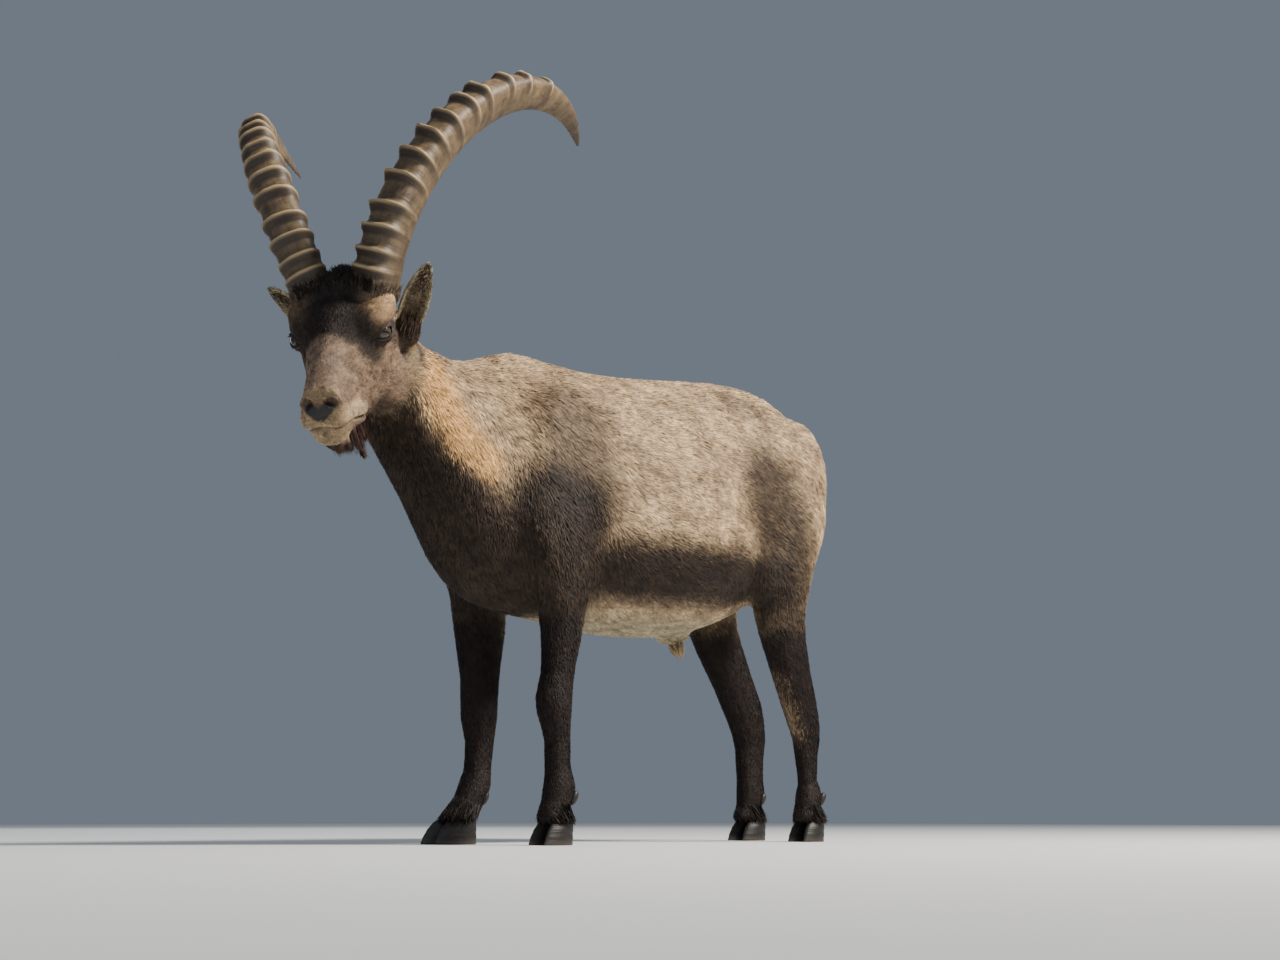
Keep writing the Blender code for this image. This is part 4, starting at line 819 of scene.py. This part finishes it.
# Up the wall of a claw: height, share of the length, half width, and how far it is set back
CLAW_LEVELS = [(0.0, 1.00, 0.0150, 0.0), (0.004, 1.03, 0.0158, 0.0), (0.022, 0.92, 0.0158, 0.004),
               (0.040, 0.74, 0.0145, 0.011), (0.052, 0.55, 0.0120, 0.017)]
CLAW_SIDES = 36
hoof_horn, tree, shell = new_material("worn hoof horn")
where = add(tree, "NewGeometry")
# Growth rings 2.5 mm apart run level round the wall, and scratches run down it.
ringed_at = add(tree, "VectorMath", {"operation": "MULTIPLY", "Vector_": (0.12, 0.12, 1)}, Vector=where)
ringed = add(tree, "TexNoise", {"Scale": 400.0, "Detail": 3.0}, Vector=ringed_at)
scratched_at = add(tree, "VectorMath", {"operation": "MULTIPLY", "Vector_": (1, 1, 0.15)}, Vector=where)
scratched = add(tree, "TexNoise", {"Scale": 700.0, "Detail": 4.0, "Roughness": 0.7}, Vector=scratched_at)
worn = add(tree, "MapRange", {"From Min": 0.50, "From Max": 0.80, "To Max": 0.8}, Value=scratched)
colour = add(tree, "Mix", {"data_type": "RGBA", "A": linear("#120e0c"), "B": linear("#332a24")}, Factor=worn)
dusty = add(tree, "MapRange", {"From Min": 0.012, "From Max": 0.0, "To Max": 0.45},
            Value=add(tree, "SeparateXYZ", {}, "Z", Vector=where))
colour = add(tree, "Mix", {"data_type": "RGBA", "B": linear("#5b4e42")}, Factor=dusty, A=colour)
join(tree, shell, Base_Color=colour,
     Roughness=add(tree, "MapRange", {"To Min": 0.40, "To Max": 0.65}, Value=scratched),
     Normal=add(tree, "Bump", {"Strength": 0.5, "Distance": 0.0009}, Height=ringed))


def catmull(rows, at):
    """A smooth reading of rows of numbers at a place counted in rows."""
    k = min(int(at), len(rows) - 2)
    t = at - k
    a, b, c, d = (np.array(rows[min(max(i, 0), len(rows) - 1)]) for i in (k - 1, k, k + 1, k + 2))
    bend, turn = 2 * a - 5 * b + 4 * c - d, 3 * b - a - 3 * c + d
    return 0.5 * (2 * b + (c - a) * t + bend * t * t + turn * t ** 3)


for foot, (x, y, heading, length) in FEET.items():
    for which, way in (("inner", -1), ("outer", 1)):
        step = way if foot.endswith("left") else -way
        turn_out = math.radians(heading + step * 7)
        ahead = Vector((math.sin(turn_out), -math.cos(turn_out), 0))
        side = Vector((math.cos(turn_out), math.sin(turn_out), 0))
        rings = []
        for at in np.linspace(0, len(CLAW_LEVELS) - 1, 17):
            level, part, wide, back = catmull(CLAW_LEVELS, at)
            worn_edge = 0.0006 * math.sin(at * 9.0) * min(1.0, at)
            long = length / 2 * part + worn_edge
            middle = STAND + Vector((x + step * 0.0200, y, 0)) - ahead * (length / 2 + back)
            middle.z = max(0.0, level)
            # The wall bends in under the coronet.
            tuck = 1 - 0.30 * max(0.0, (level - 0.036) / 0.016) ** 2
            long, wide = long * tuck, wide * tuck
            ring = []
            for k in range(CLAW_SIDES):
                turn = 2 * math.pi * (k + 0.5) / CLAW_SIDES
                c, s = math.cos(turn), math.sin(turn)
                across = (wide + worn_edge) * math.copysign(abs(c) ** 0.9, c) * (1 - 0.42 * max(0.0, s) ** 2)
                if c * step < 0:
                    across *= 0.72
                ring.append(middle + side * across + ahead * long * math.copysign(abs(s) ** 0.95, s))
            rings.append(ring)
        claw = lofted("claw_horn_%s_%s" % (foot, which), rings)
        claw.data.materials.append(hoof_horn)
        claw.data.polygons[-2].use_smooth = False
        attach(claw, "root")
        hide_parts("claw_%s_%s" % (foot, which))
        source = nodes["dewclaw_%s_%s" % (foot, which)]
        spur = new_object("spur_%s_%s" % (foot, which), source.data.copy())
        spur.matrix_world = source.matrix_world
        welded = bmesh.new()
        welded.from_mesh(spur.data)
        bmesh.ops.remove_doubles(welded, verts=welded.verts, dist=0.00005)
        welded.to_mesh(spur.data)
        welded.free()
        spur.modifiers.new("round", "SUBSURF").levels = 2
        settle(spur)
        shade_smooth(spur.data)
        spur.data.materials.clear()
        spur.data.materials.append(hoof_horn)
        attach(spur, "root")
        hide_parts("dewclaw_%s_%s" % (foot, which))


# The coat is grown over the whole hide: each tuft a thin tapered blade of several hairs, rooted in the
# hide and laid along the body, all tufts of a region in one mesh. It is longest on the tail, and shortest
# on the muzzle.
def lie_along(places):
    """Guides on both sides of the standing animal: where, and which way the hair lies there."""
    found = []
    for (x, y, z), (a, b, c) in places:
        found.append(((x, y, z), (a, b, c)))
        if x:
            found.append(((-x, y, z), (-a, b, c)))
    return [np.array(column, float) for column in zip(*found)]


BODY_LIE = lie_along([
    ((0, -0.36, 0.89), (0, 1, -0.12)), ((0, -0.10, 0.88), (0, 1, -0.03)), ((0, 0.15, 0.90), (0, 1, -0.10)),
    ((0, 0.34, 0.85), (0, 1, -0.60)), ((0, 0.42, 0.72), (0, 0.35, -1)),
    ((0.10, -0.20, 0.85), (0.15, 1, -0.25)),
    ((0.12, 0.15, 0.85), (0.15, 1, -0.35)), ((0.19, -0.10, 0.62), (0.03, 1, -0.35)),
    ((0.19, 0.05, 0.60), (0, 1, -0.38)), ((0.16, 0.22, 0.62), (0, 0.9, -0.65)),
    ((0.13, 0.34, 0.62), (0, 0.6, -1)), ((0.13, -0.34, 0.74), (0.10, 0.75, -0.75)),
    ((0.13, -0.37, 0.58), (0.02, 0.40, -1)), ((0.11, -0.33, 0.46), (0, 0.25, -1)),
    ((0, -0.02, 0.39), (0, 1, -0.05)), ((0.10, -0.05, 0.41), (-0.3, 1, -0.3)),
    ((0, 0.22, 0.44), (0, 1, 0.1)), ((0, -0.49, 0.54), (0, 0.15, -1)), ((0, -0.44, 0.44), (0, 0.8, -0.8)),
    ((0, -0.30, 0.41), (0, 1, -0.15)), ((0.09, -0.46, 0.62), (0.05, 0.30, -1)),
    ((0.085, -0.52, 0.74), (0.08, 0.55, -0.85)), ((0.075, -0.60, 0.82), (0.05, 0.50, -0.80)),
    ((0, -0.50, 0.865), (0, 1, -0.20)), ((0, -0.60, 0.90), (0, 0.9, -0.55)),
    ((-0.02, -0.60, 0.65), (0, 0.35, -1)), ((-0.04, -0.66, 0.74), (0, 0.45, -1)),
    ((0.105, -0.33, 0.30), (0, 0.06, -1)), ((0.105, -0.33, 0.10), (0, -0.12, -1)),
    ((0.115, 0.22, 0.48), (0, 0.35, -1)), ((0.110, 0.33, 0.36), (0, 0.45, -1)),
    ((0.108, 0.41, 0.24), (0, 0.0, -1)), ((0.108, 0.37, 0.10), (0, -0.15, -1)),
    ((0, 0.47, 0.74), (0, 0.25, -1)),
])
FACE_LIE = lie_along([
    ((0, 0.25, -0.05), (0, -1, 0.10)), ((0, 0.15, -0.01), (0, -1, 0.15)), ((0, 0.06, 0.01), (0, -1, 0.12)),
    ((0, 0.00, 0.01), (0, -0.8, 0.55)), ((0.04, 0.22, -0.08), (0.25, -1, -0.25)),
    ((0.05, 0.15, -0.07), (0.25, -1, -0.15)), ((0.075, 0.05, -0.10), (0.15, -1, -0.45)),
    ((0.070, 0.00, -0.16), (0.10, -0.9, -0.70)), ((0.055, 0.10, -0.15), (0.10, -0.9, -0.60)),
    ((0.060, 0.08, -0.02), (0.50, -0.9, 0.30)), ((0.085, 0.04, -0.04), (0.40, -1, -0.05)),
    ((0, 0.23, -0.15), (0, -0.55, -1)), ((0.03, 0.20, -0.14), (0.15, -0.7, -0.9)),
    ((0, 0.10, -0.20), (0, -0.9, -0.55)), ((0, -0.05, -0.01), (0, -1, 0.05)),
    ((0.05, -0.05, -0.06), (0.3, -1, -0.3)),
])


ROOTS_AT_ONCE = 40000


def lie_from(guides, points):
    """The way given by the guides at each place, the nearest of them counting most."""
    places, ways = guides
    out = np.zeros_like(points)
    for start in range(0, len(points), ROOTS_AT_ONCE):
        some = points[start:start + ROOTS_AT_ONCE]
        far = ((some[:, None, :] - places[None]) ** 2).sum(2)
        out[start:start + ROOTS_AT_ONCE] = (1 / (far + 0.0009) ** 2) @ ways
    return unit(out)


def hair_lie(points, out, share):
    """The way along the hide in which the hair lies at each root."""
    way = lie_from(BODY_LIE, points - np.array(STAND))
    face = lie_from(FACE_LIE, head_places(points)) @ np.array(HEAD_TURN).T
    way += (face - way) * share["face"][:, None]
    for side in SIDES:
        root, along, cup, wide = ear_frame(side)
        near = line_distance(points, [root + along * at for at in EAR_RUN])[0] < 0.038
        way[near & (share["ear"] > 0.3)] = np.array(along)
    return unit(way - out * (way * out).sum(1)[:, None])


HAIR_LENGTH = {"body": 0.0160, "leg": 0.0105, "foot": 0.0075, "face": 0.0075, "muzzle": 0.0040, "ear": 0.0075,
               "tail": 0.0340}


def hair_width(long):
    return 0.00050 + 0.080 * long


def hair_length(points, share):
    """How long the hair is, and how far it is the curly wool that fills the forehead between the horns."""
    between_horns = [(-0.035, -0.004, -0.004), (0.035, -0.004, -0.004)]
    woolly = near_line(head_places(points), between_horns, 0.026, 0.046) * share["face"]
    return over_parts(HAIR_LENGTH, share) + woolly * 0.012, woolly


# Guard hair: stiff, dry and a little glossy along its length, darker at the root and worn paler at the tip.
hair, tree, shell = new_material("ibex guard hair")
where = add(tree, "NewGeometry")
colour = hair_colour(tree, where)
tip, odd = (add(tree, "Attribute", {"attribute_name": name}, "Fac") for name in ("tip", "odd"))
faded = add(tree, "MapRange", {"To Min": 0.60, "To Max": 1.18}, Value=tip)
mixed = add(tree, "MapRange", {"To Min": 0.72, "To Max": 1.25}, Value=odd)
strength = add(tree, "Math", {"operation": "MULTIPLY"}, Value=faded, Value_=mixed)
strength = add(tree, "CombineColor", {}, Red=strength, Green=strength, Blue=strength)
join(tree, shell, Base_Color=add(tree, "Mix", {"data_type": "RGBA", "blend_type": "MULTIPLY", "Factor": 1.0},
                                 A=colour, B=strength))
for name, value in (("Roughness", 0.62), ("Specular IOR Level", 0.26), ("Sheen Weight", 0.03)):
    shell.inputs[name].default_value = value


# How large a tuft's patch is on the sheet of its piece
PATCH_SIZE = 0.003


def blades(name, roots, out, way, long, wide, lift, marks, bow=0.0, joints=1):
    """One mesh of flat tapered blades, each with its own place on the piece's unwrapped hide."""
    total = len(roots)
    aside = unit(np.cross(out, way))
    # Each blade is rolled a little about its own length, so that neighbours catch the light apart.
    roll = chance.normal(0, 0.30, total)[:, None]
    aside = unit(aside * np.cos(roll) + out * np.sin(roll))
    long, wide, lift = long[:, None], wide[:, None], lift[:, None]
    rows = joints + 1
    sag = chance.uniform(0.65, 1.05, total)[:, None]
    points = np.empty((total, 2 * rows + 1, 3), np.float32)
    tips = np.empty((total, 2 * rows + 1), np.float32)
    for k in range(rows + 1):
        at = k / rows
        rise = lift * (1 - (1 - at) ** 1.7) * (1 + (sag - 1) * at) - 0.0007 * (1 - at)
        middle = roots + way * (long * at) + out * rise + aside * (bow * long * at * at * (sag - 0.85))
        if k == rows:
            points[:, -1] = middle
            tips[:, -1] = 1
        else:
            half = wide * 0.5 * (1 - at ** 2.2 * 0.5)
            points[:, 2 * k] = middle - aside * half
            points[:, 2 * k + 1] = middle + aside * half
            tips[:, 2 * k:2 * k + 2] = at
    each = []
    for a in range(0, 2 * rows - 2, 2):
        each += [(a, a + 1, a + 2), (a + 1, a + 3, a + 2)]
    each.append((2 * rows - 2, 2 * rows - 1, 2 * rows))
    each = np.array(each)
    step = 2 * rows + 1
    corners = (np.arange(total)[:, None, None] * step + each[None]).reshape(-1)
    mesh = bpy.data.meshes.new(name)
    mesh.vertices.add(total * step)
    mesh.vertices.foreach_set("co", points.reshape(-1))
    mesh.loops.add(len(corners))
    mesh.loops.foreach_set("vertex_index", corners.astype(np.int32))
    mesh.polygons.add(len(corners) // 3)
    mesh.polygons.foreach_set("loop_start", np.arange(0, len(corners), 3, dtype=np.int32))
    mesh.polygons.foreach_set("use_smooth", np.ones(len(corners) // 3, bool))
    mesh.update(calc_edges=True)
    add_marks(mesh, {mark: np.repeat(values, step) for mark, values in marks.items() if values.max() > 0.01})
    add_marks(mesh, {"tip": tips.reshape(-1), "odd": np.repeat(chance.uniform(0, 1, total), step)})
    # The hide of the piece is opened out like a box: six sides, each laid flat on its own part of the sheet.
    main = np.argmax(np.abs(out), axis=1)
    tile = main * 2 + (out[np.arange(total), main] > 0)
    low, high = roots.min(0), roots.max(0)
    place = (roots - low) / max((high - low).max(), 1e-6)
    flat = np.take_along_axis(place, np.array([(1, 2), (0, 2), (0, 1)])[main], 1)
    sheet_at = np.stack([(tile % 3 + 0.02 + 0.96 * flat[:, 0]) / 3,
                         (tile // 3 + 0.02 + 0.96 * flat[:, 1]) / 2], 1)
    patch = np.array([(-0.5 + (j % 2), j / (step - 1) - 0.5) for j in range(step)]) * PATCH_SIZE
    patch[-1, 0] = 0
    spread = (sheet_at[:, None, :] + patch[None]).reshape(-1, 2)
    layer = mesh.uv_layers.new(name="OFBake")
    layer.data.foreach_set("uv", spread[corners].astype(np.float32).reshape(-1))
    mesh.materials.append(hair)
    return new_object(name, mesh)


chance = np.random.default_rng(7)
hide.data.calc_loop_triangles()
corners = np.empty(len(hide.data.loop_triangles) * 3, int)
hide.data.loop_triangles.foreach_get("vertices", corners)
corners = corners.reshape(-1, 3)
hide_points, hide_out = read_points(hide), relaxed_normals(hide)
a, b, c = (hide_points[corners[:, k]] for k in range(3))
areas = np.linalg.norm(np.cross(b - a, c - a), axis=1) / 2
middles = (a + b + c) / 3
share = shares_of(middles)[2]
long = hair_length(middles, share)[0]
wide = hair_width(long)
# How many times over the hair covers the hide
cover = (2.5 + 0.9 * (1 - share["face"])) * (1 - 0.55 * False)
wanted = areas * cover / (0.62 * long * wide)
pick = np.repeat(np.arange(len(areas)), chance.poisson(wanted))
one, two = chance.uniform(0, 1, (2, len(pick)))
fold_back = one + two > 1
one[fold_back], two[fold_back] = 1 - one[fold_back], 1 - two[fold_back]
third = 1 - one - two
weights = np.stack([third, one, two], 1)[:, :, None]
roots = (hide_points[corners[pick]] * weights).sum(1)
out = unit((hide_out[corners[pick]] * weights).sum(1))
stand, head, share = shares_of(roots)

# Nothing grows on the nose, inside the eye openings, under the horns or under the claws.
bare = near_lines(head, NOSE_PAD, 0.0085, 0.0140) > 0.4
bare |= (near_lines(head, both(MOUTH), 0.0016, 0.0042) > 0.5) | (stand[:, 2] < 0.014)
for side in SIDES:
    centre, look, along, high = eye_frames[side]
    from_eye = roots - np.array(centre)
    ahead = from_eye @ np.array(look)
    oval = ((from_eye @ np.array(along)) / 0.0205) ** 2 + ((from_eye @ np.array(high)) / 0.0140) ** 2
    bare |= (np.linalg.norm(from_eye, axis=1) < EYE_RADIUS + 0.0008) | ((oval < 1) & (ahead > 0.006))
    place, ahead, back, outward = (np.array(HORNS_TURN @ part) for part in horn_path(side)[0])
    from_horn = roots - np.array(POLL) - place
    bare |= ((np.abs(from_horn @ outward) < 0.033) & (from_horn @ back > -0.024) & (from_horn @ back < 0.058)
             & (from_horn @ ahead < 0.006) & (from_horn @ ahead > -0.05))
keep = ~bare
roots, out, stand, head = roots[keep], out[keep], stand[keep], head[keep]
share = {name: values[keep] for name, values in share.items()}
long, woolly = hair_length(roots, share)
long = long * chance.uniform(0.75, 1.25, len(long))
wide = hair_width(long) * chance.uniform(0.8, 1.2, len(long))
lift = over_parts(COAT_DEPTH, share) * chance.uniform(0.70, 1.05, len(long)) + woolly * 0.005
way = hair_lie(roots, out, share)
swirl = chance.normal(0, 0.16, len(roots)) + 0.16 * np.sin(roots @ np.array([31.0, 47.0, 39.0]))
swirl += woolly * chance.normal(0, 0.8, len(roots))
way = unit(way * np.cos(swirl)[:, None] + np.cross(out, way) * np.sin(swirl)[:, None])
marks = markings(roots + chance.normal(0, 0.0055, roots.shape) * (1 - 0.75 * share["face"])[:, None])
# Neighbouring tufts hang together in locks 8.5 mm wide, on the face 5 mm, each lock lighter or darker.
lock_size = np.where(share["face"] > 0.5, 0.0050, 0.0085)[:, None]
lock = np.floor(roots / lock_size) @ np.array([127.1, 311.7, 74.7])
marks["tone"] = 1.2 * (np.sin(lock) * 43758.5 % 1) - 0.6 + 0.4 * chance.uniform(-1, 1, len(long))

# Which piece of the coat each tuft belongs to
left = stand[:, 0] > 0
region = np.full(len(roots), "ribs", "U8")
region[stand[:, 1] < -0.22] = "shoulder"
region[stand[:, 1] > 0.12] = "rump"
region[(stand[:, 1] < -0.475) & (stand[:, 2] > 0.42)] = "neck"
region[(share["leg"] > 0.5) & (stand[:, 1] < 0)] = "foreleg"
region[(share["leg"] > 0.5) & (stand[:, 1] > 0)] = "hind_leg"
region[share["tail"] > 0.5] = "tail"
region[share["face"] > 0.5] = "face"
region[share["ear"] > 0.3] = "ear"
left = np.where(region == "face", head[:, 0] > 0, left)
COAT = [("face", "head_coat", ["head"]), ("neck", "neck_coat", ["neck"]),
        ("shoulder", "body_coat", ["torso"]), ("ribs", "body_coat", ["torso"]),
        ("rump", "body_coat", ["torso"]), ("foreleg", "leg_coat", []), ("hind_leg", "leg_coat", []),
        ("tail", "tail_coat", ["tail"]), ("ear", "ear_coat", [])]
for name, slot, under in COAT:
    for side, on_side in (("left", left), ("right", ~left)):
        chosen = (region == name) & (on_side | (name == "tail"))
        halves = ["%s_%s_%s" % (name, side, half) for half in ("upper", "lower")]
        covers = under or (["ear_" + side] if name == "ear" else halves)
        grown = blades("coat_%s_%s" % (name, side), roots[chosen], out[chosen], way[chosen], long[chosen],
                       wide[chosen], lift[chosen], {mark: values[chosen] for mark, values in marks.items()})
        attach(grown, "root")
        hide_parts(*covers)
        if name == "tail":
            break


# Longer hair stands apart from the coat: the beard of an adult male in nine pointed locks, the collar that
# laps each horn's root, the hair over the joints of the ears, the brush of the tail, the tuft of the sheath,
# the hair over the coronets, and the lashes. Below is where each lock of the beard starts and ends.
BEARD = [
    ((0.002, 0.240, -0.136), (0.003, 0.238, -0.182)), ((0.014, 0.224, -0.138), (0.013, 0.216, -0.197)),
    ((-0.016, 0.222, -0.138), (-0.012, 0.212, -0.196)), ((0.000, 0.208, -0.142), (-0.002, 0.196, -0.211)),
    ((0.017, 0.190, -0.146), (0.013, 0.172, -0.228)), ((-0.018, 0.190, -0.146), (-0.010, 0.174, -0.224)),
    ((0.002, 0.174, -0.150), (0.004, 0.150, -0.242)), ((0.016, 0.160, -0.154), (0.011, 0.132, -0.238)),
    ((-0.016, 0.158, -0.154), (-0.008, 0.134, -0.236)),
]
HAIRS_PER_LOCK = 330


def strands(name, starts, ends, spread, gather, width, mark, under, bow=0.15):
    """Many fine hairs from about each start to about each end, drawn together at their tips."""
    away = chance.normal(0, 1, starts.shape)
    roots = starts + away * spread
    tips = ends + away * spread * gather + chance.normal(0, 0.0022, starts.shape)
    run = tips - roots
    far = np.linalg.norm(run, axis=1)
    way = run / far[:, None]
    out = unit(np.cross(way, unit(chance.normal(0, 1, way.shape))))
    far = far * chance.uniform(0.62, 1.04, len(far))
    marks = {mark: np.ones(len(far))}
    # The beard varies from hair to hair as the face does.
    if mark == "beard":
        marks["face"] = np.ones(len(far))
    grown = blades(name, roots, out, way, far, np.full(len(far), width) * chance.uniform(0.7, 1.3, len(far)),
                   far * 0.05, marks, bow=bow, joints=3)
    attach(grown, "root")
    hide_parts(*under)


starts, ends = (np.repeat(np.array([on_head(*lock[end]) for lock in BEARD]), HAIRS_PER_LOCK, 0)
                for end in (0, 1))
strands("beard", starts, ends, 0.0062, 0.38, 0.0011, "beard", ["head"])

# Hair laps the root of each horn all the way round, and lies up along it. It is paler behind and outside.
COLLAR_HAIRS = 1500
rings_at, rings_way, laps = [], [], []
for side, way in SIDES.items():
    place, ahead, back, outward = horn_path(side)[0]
    for k in range(COLLAR_HAIRS):
        turn = chance.uniform(0, 2 * math.pi)
        c, s = math.cos(turn), math.sin(turn)
        deep, across = horn_outline(c, s, 0.029, 0.062, 0.037)
        low = chance.uniform(-0.026, -0.004) + 0.006 * max(0.0, s)
        rim = back * deep + outward * across
        rings_at.append(POLL + HORNS_TURN @ (place + rim * (1 - 0.9 * max(0.0, -low - 0.004)) + ahead * low))
        rings_way.append(HORNS_TURN @ (ahead + rim.normalized() * 0.12))
        laps.append(c * way > -0.2 and s < 0.75)
starts = np.array(rings_at)
ends = starts + unit(np.array(rings_way)) * chance.uniform(0.007, 0.014, len(starts))[:, None]
laps = np.array(laps)
for name, mark, here in (("horn_collar", "collar", ~laps), ("horn_lap", "lap", laps)):
    strands(name, starts[here], ends[here], 0.0008, 1.0, 0.0012, mark, ["head"], bow=0.3)

# Hair grows up over the joint of each ear with the head, all the way round.
JOINT_HAIRS = 1500
for side in SIDES:
    root, along, cup, wide = (np.array(part) for part in ear_frame(side))
    turn = chance.uniform(0, 2 * np.pi, JOINT_HAIRS)[:, None]
    down = chance.uniform(0.75, 1.85, JOINT_HAIRS)[:, None]
    outward = cup * np.cos(turn) + wide * np.sin(turn)
    starts = root + along * 0.010 + (outward * np.sin(down) + along * np.cos(down)) * 0.0225
    ends = starts + along * chance.uniform(0.014, 0.024, JOINT_HAIRS)[:, None] - outward * 0.002
    # The joint hair takes the colour of the root mark, the painted shade round the ear's root.
    strands("ear_joint_hair_" + side, starts, ends, 0.0012, 0.8, 0.0013, "root", ["ear_" + side])

# The tail's brush: long dark hair down both sides and past the end.
BRUSH_HAIRS = 1500
places = np.array([(0, 0.452, 0.790), (0, 0.475, 0.745), (0, 0.482, 0.700), (0, 0.480, 0.668)])
at = chance.uniform(0, 1, BRUSH_HAIRS)
starts = np.stack([np.interp(at, np.linspace(0, 1, 4), places[:, axis]) for axis in range(3)], 1)
ends = starts + np.array((0, 0.016, -0.040)) * chance.uniform(0.7, 1.2, BRUSH_HAIRS)[:, None]
strands("tail_brush", starts + np.array(STAND), ends + np.array(STAND), 0.0050, 1.3, 0.0013, "dark",
        ["tail"])

# A short pointed tuft hangs from the sheath.
SHEATH_HAIRS = 300
starts, ends = (np.array([place] * SHEATH_HAIRS) + np.array(STAND)
                for place in ((0, 0.084, 0.380), (0, 0.096, 0.358)))
strands("sheath_tuft", starts, ends, 0.0075, 0.5, 0.0012, "tuft", ["torso"])

# Hair falls from each pastern over the coronets of its claws.
CORONET_HAIRS = 2600
for foot, (x, y, heading, length) in FEET.items():
    leg = {"fore": "foreleg", "hind": "hind_leg"}[foot[:4]] + foot[4:]
    turn_out = math.radians(heading)
    ahead = np.array((math.sin(turn_out), -math.cos(turn_out)))
    aside = np.array((math.cos(turn_out), math.sin(turn_out)))
    near = np.hypot(stand[:, 0] - x, stand[:, 1] - y + ahead[1] * length / 2) < 0.10
    ankle = roots[near & (stand[:, 2] > 0.050) & (stand[:, 2] < 0.074)]
    starts = ankle[chance.integers(0, len(ankle), CORONET_HAIRS)]
    middle = np.array(STAND)[:2] + np.array((x, y)) - ahead * (length * 0.5 + 0.012)
    away = starts[:, :2] - ankle[:, :2].mean(0)
    turns = np.arctan2(away @ ahead / 0.031, away @ aside / 0.030) + chance.normal(0, 0.12, len(starts))
    rim = middle + aside * 0.0350 * np.cos(turns)[:, None] + ahead * length * 0.40 * np.sin(turns)[:, None]
    ends = np.column_stack([rim, 0.040 + chance.uniform(-0.006, 0.004, len(starts))])
    strands("coronet_hair_" + foot, starts, ends, 0.0006, 1.0, 0.0014, "dark", [leg + "_lower"],
            bow=0.05)

# Stiff lashes fringe the upper lid.
LASHES = 44
starts, ends = [], []
for centre, look, along, high in eye_frames.values():
    for k in range(LASHES):
        turn = math.pi * chance.uniform(0.06, 0.94)
        x, y = LID_OPENING * math.cos(turn), UPPER_LID * math.sin(turn) ** 1.25 + 0.0006
        deep = math.sqrt(max((EYE_RADIUS + 0.0022) ** 2 - x * x - y * y, 0))
        root = centre + along * x + high * y + look * deep
        starts.append(root)
        ends.append(root + (look * 0.8 + high * 0.25 + along * x * 26 + Vector((0, 0, -0.35))) * 0.0050)
strands("lashes", np.array(starts), np.array(ends), 0.0002, 1.0, 0.0005, "black", ["head"])


# The floor is a plain pale sheet of matt paper. The light comes through a soft window high on the animal's
# left, with weaker ones in front and behind, under a dull blue sky.
floor_mesh = bpy.data.meshes.new("floor")
floor_mesh.from_pydata([(-6, -6, 0), (6, -6, 0), (6, 6, 0), (-6, 6, 0)], [], [(0, 1, 2, 3)])
floor = new_object("floor", floor_mesh)
sheet, tree, shell = new_material("matt pale paper")
shell.inputs["Base Color"].default_value = (0.62, 0.63, 0.64, 1)
shell.inputs["Roughness"].default_value = 0.9
floor_mesh.materials.append(sheet)
for name, place, size, power, tint in (("window", (3.0, 1.3, 3.8), 0.9, 490, (1.0, 0.94, 0.84)),
                                       ("fill", (1.2, -4.2, 1.6), 3.0, 28, (0.90, 0.95, 1.0)),
                                       ("back", (-3.6, 1.5, 2.2), 2.4, 45, (0.93, 0.96, 1.0))):
    made = bpy.data.lights.new(name, "AREA")
    made.shape, made.size, made.energy, made.color = "SQUARE", size, power, tint
    lamp = new_object(name, made)
    lamp.location = place
    lamp.rotation_euler = (Vector((0.05, -0.1, 0.65)) - Vector(place)).to_track_quat("-Z", "Y").to_euler()
world = bpy.data.worlds.new("sky")
world.use_nodes = True
sky = world.node_tree.nodes["Background"]
sky.inputs["Color"].default_value = (0.55, 0.66, 0.80, 1)
sky.inputs["Strength"].default_value = 0.29
bpy.context.scene.world = world

# The camera stands low on the ground, ahead and to the animal's left, looking slightly up.
camera_data = bpy.data.cameras.new("camera")
camera_data.sensor_width = 36
camera_data.lens = 66.01
camera = new_object("camera", camera_data)
camera.location = Vector((3.182, -3.182, 0.06)) + STAND
camera.rotation_euler = (math.radians(90 + 8.02757), 0, math.radians(45.1206))
bpy.context.scene.camera = camera
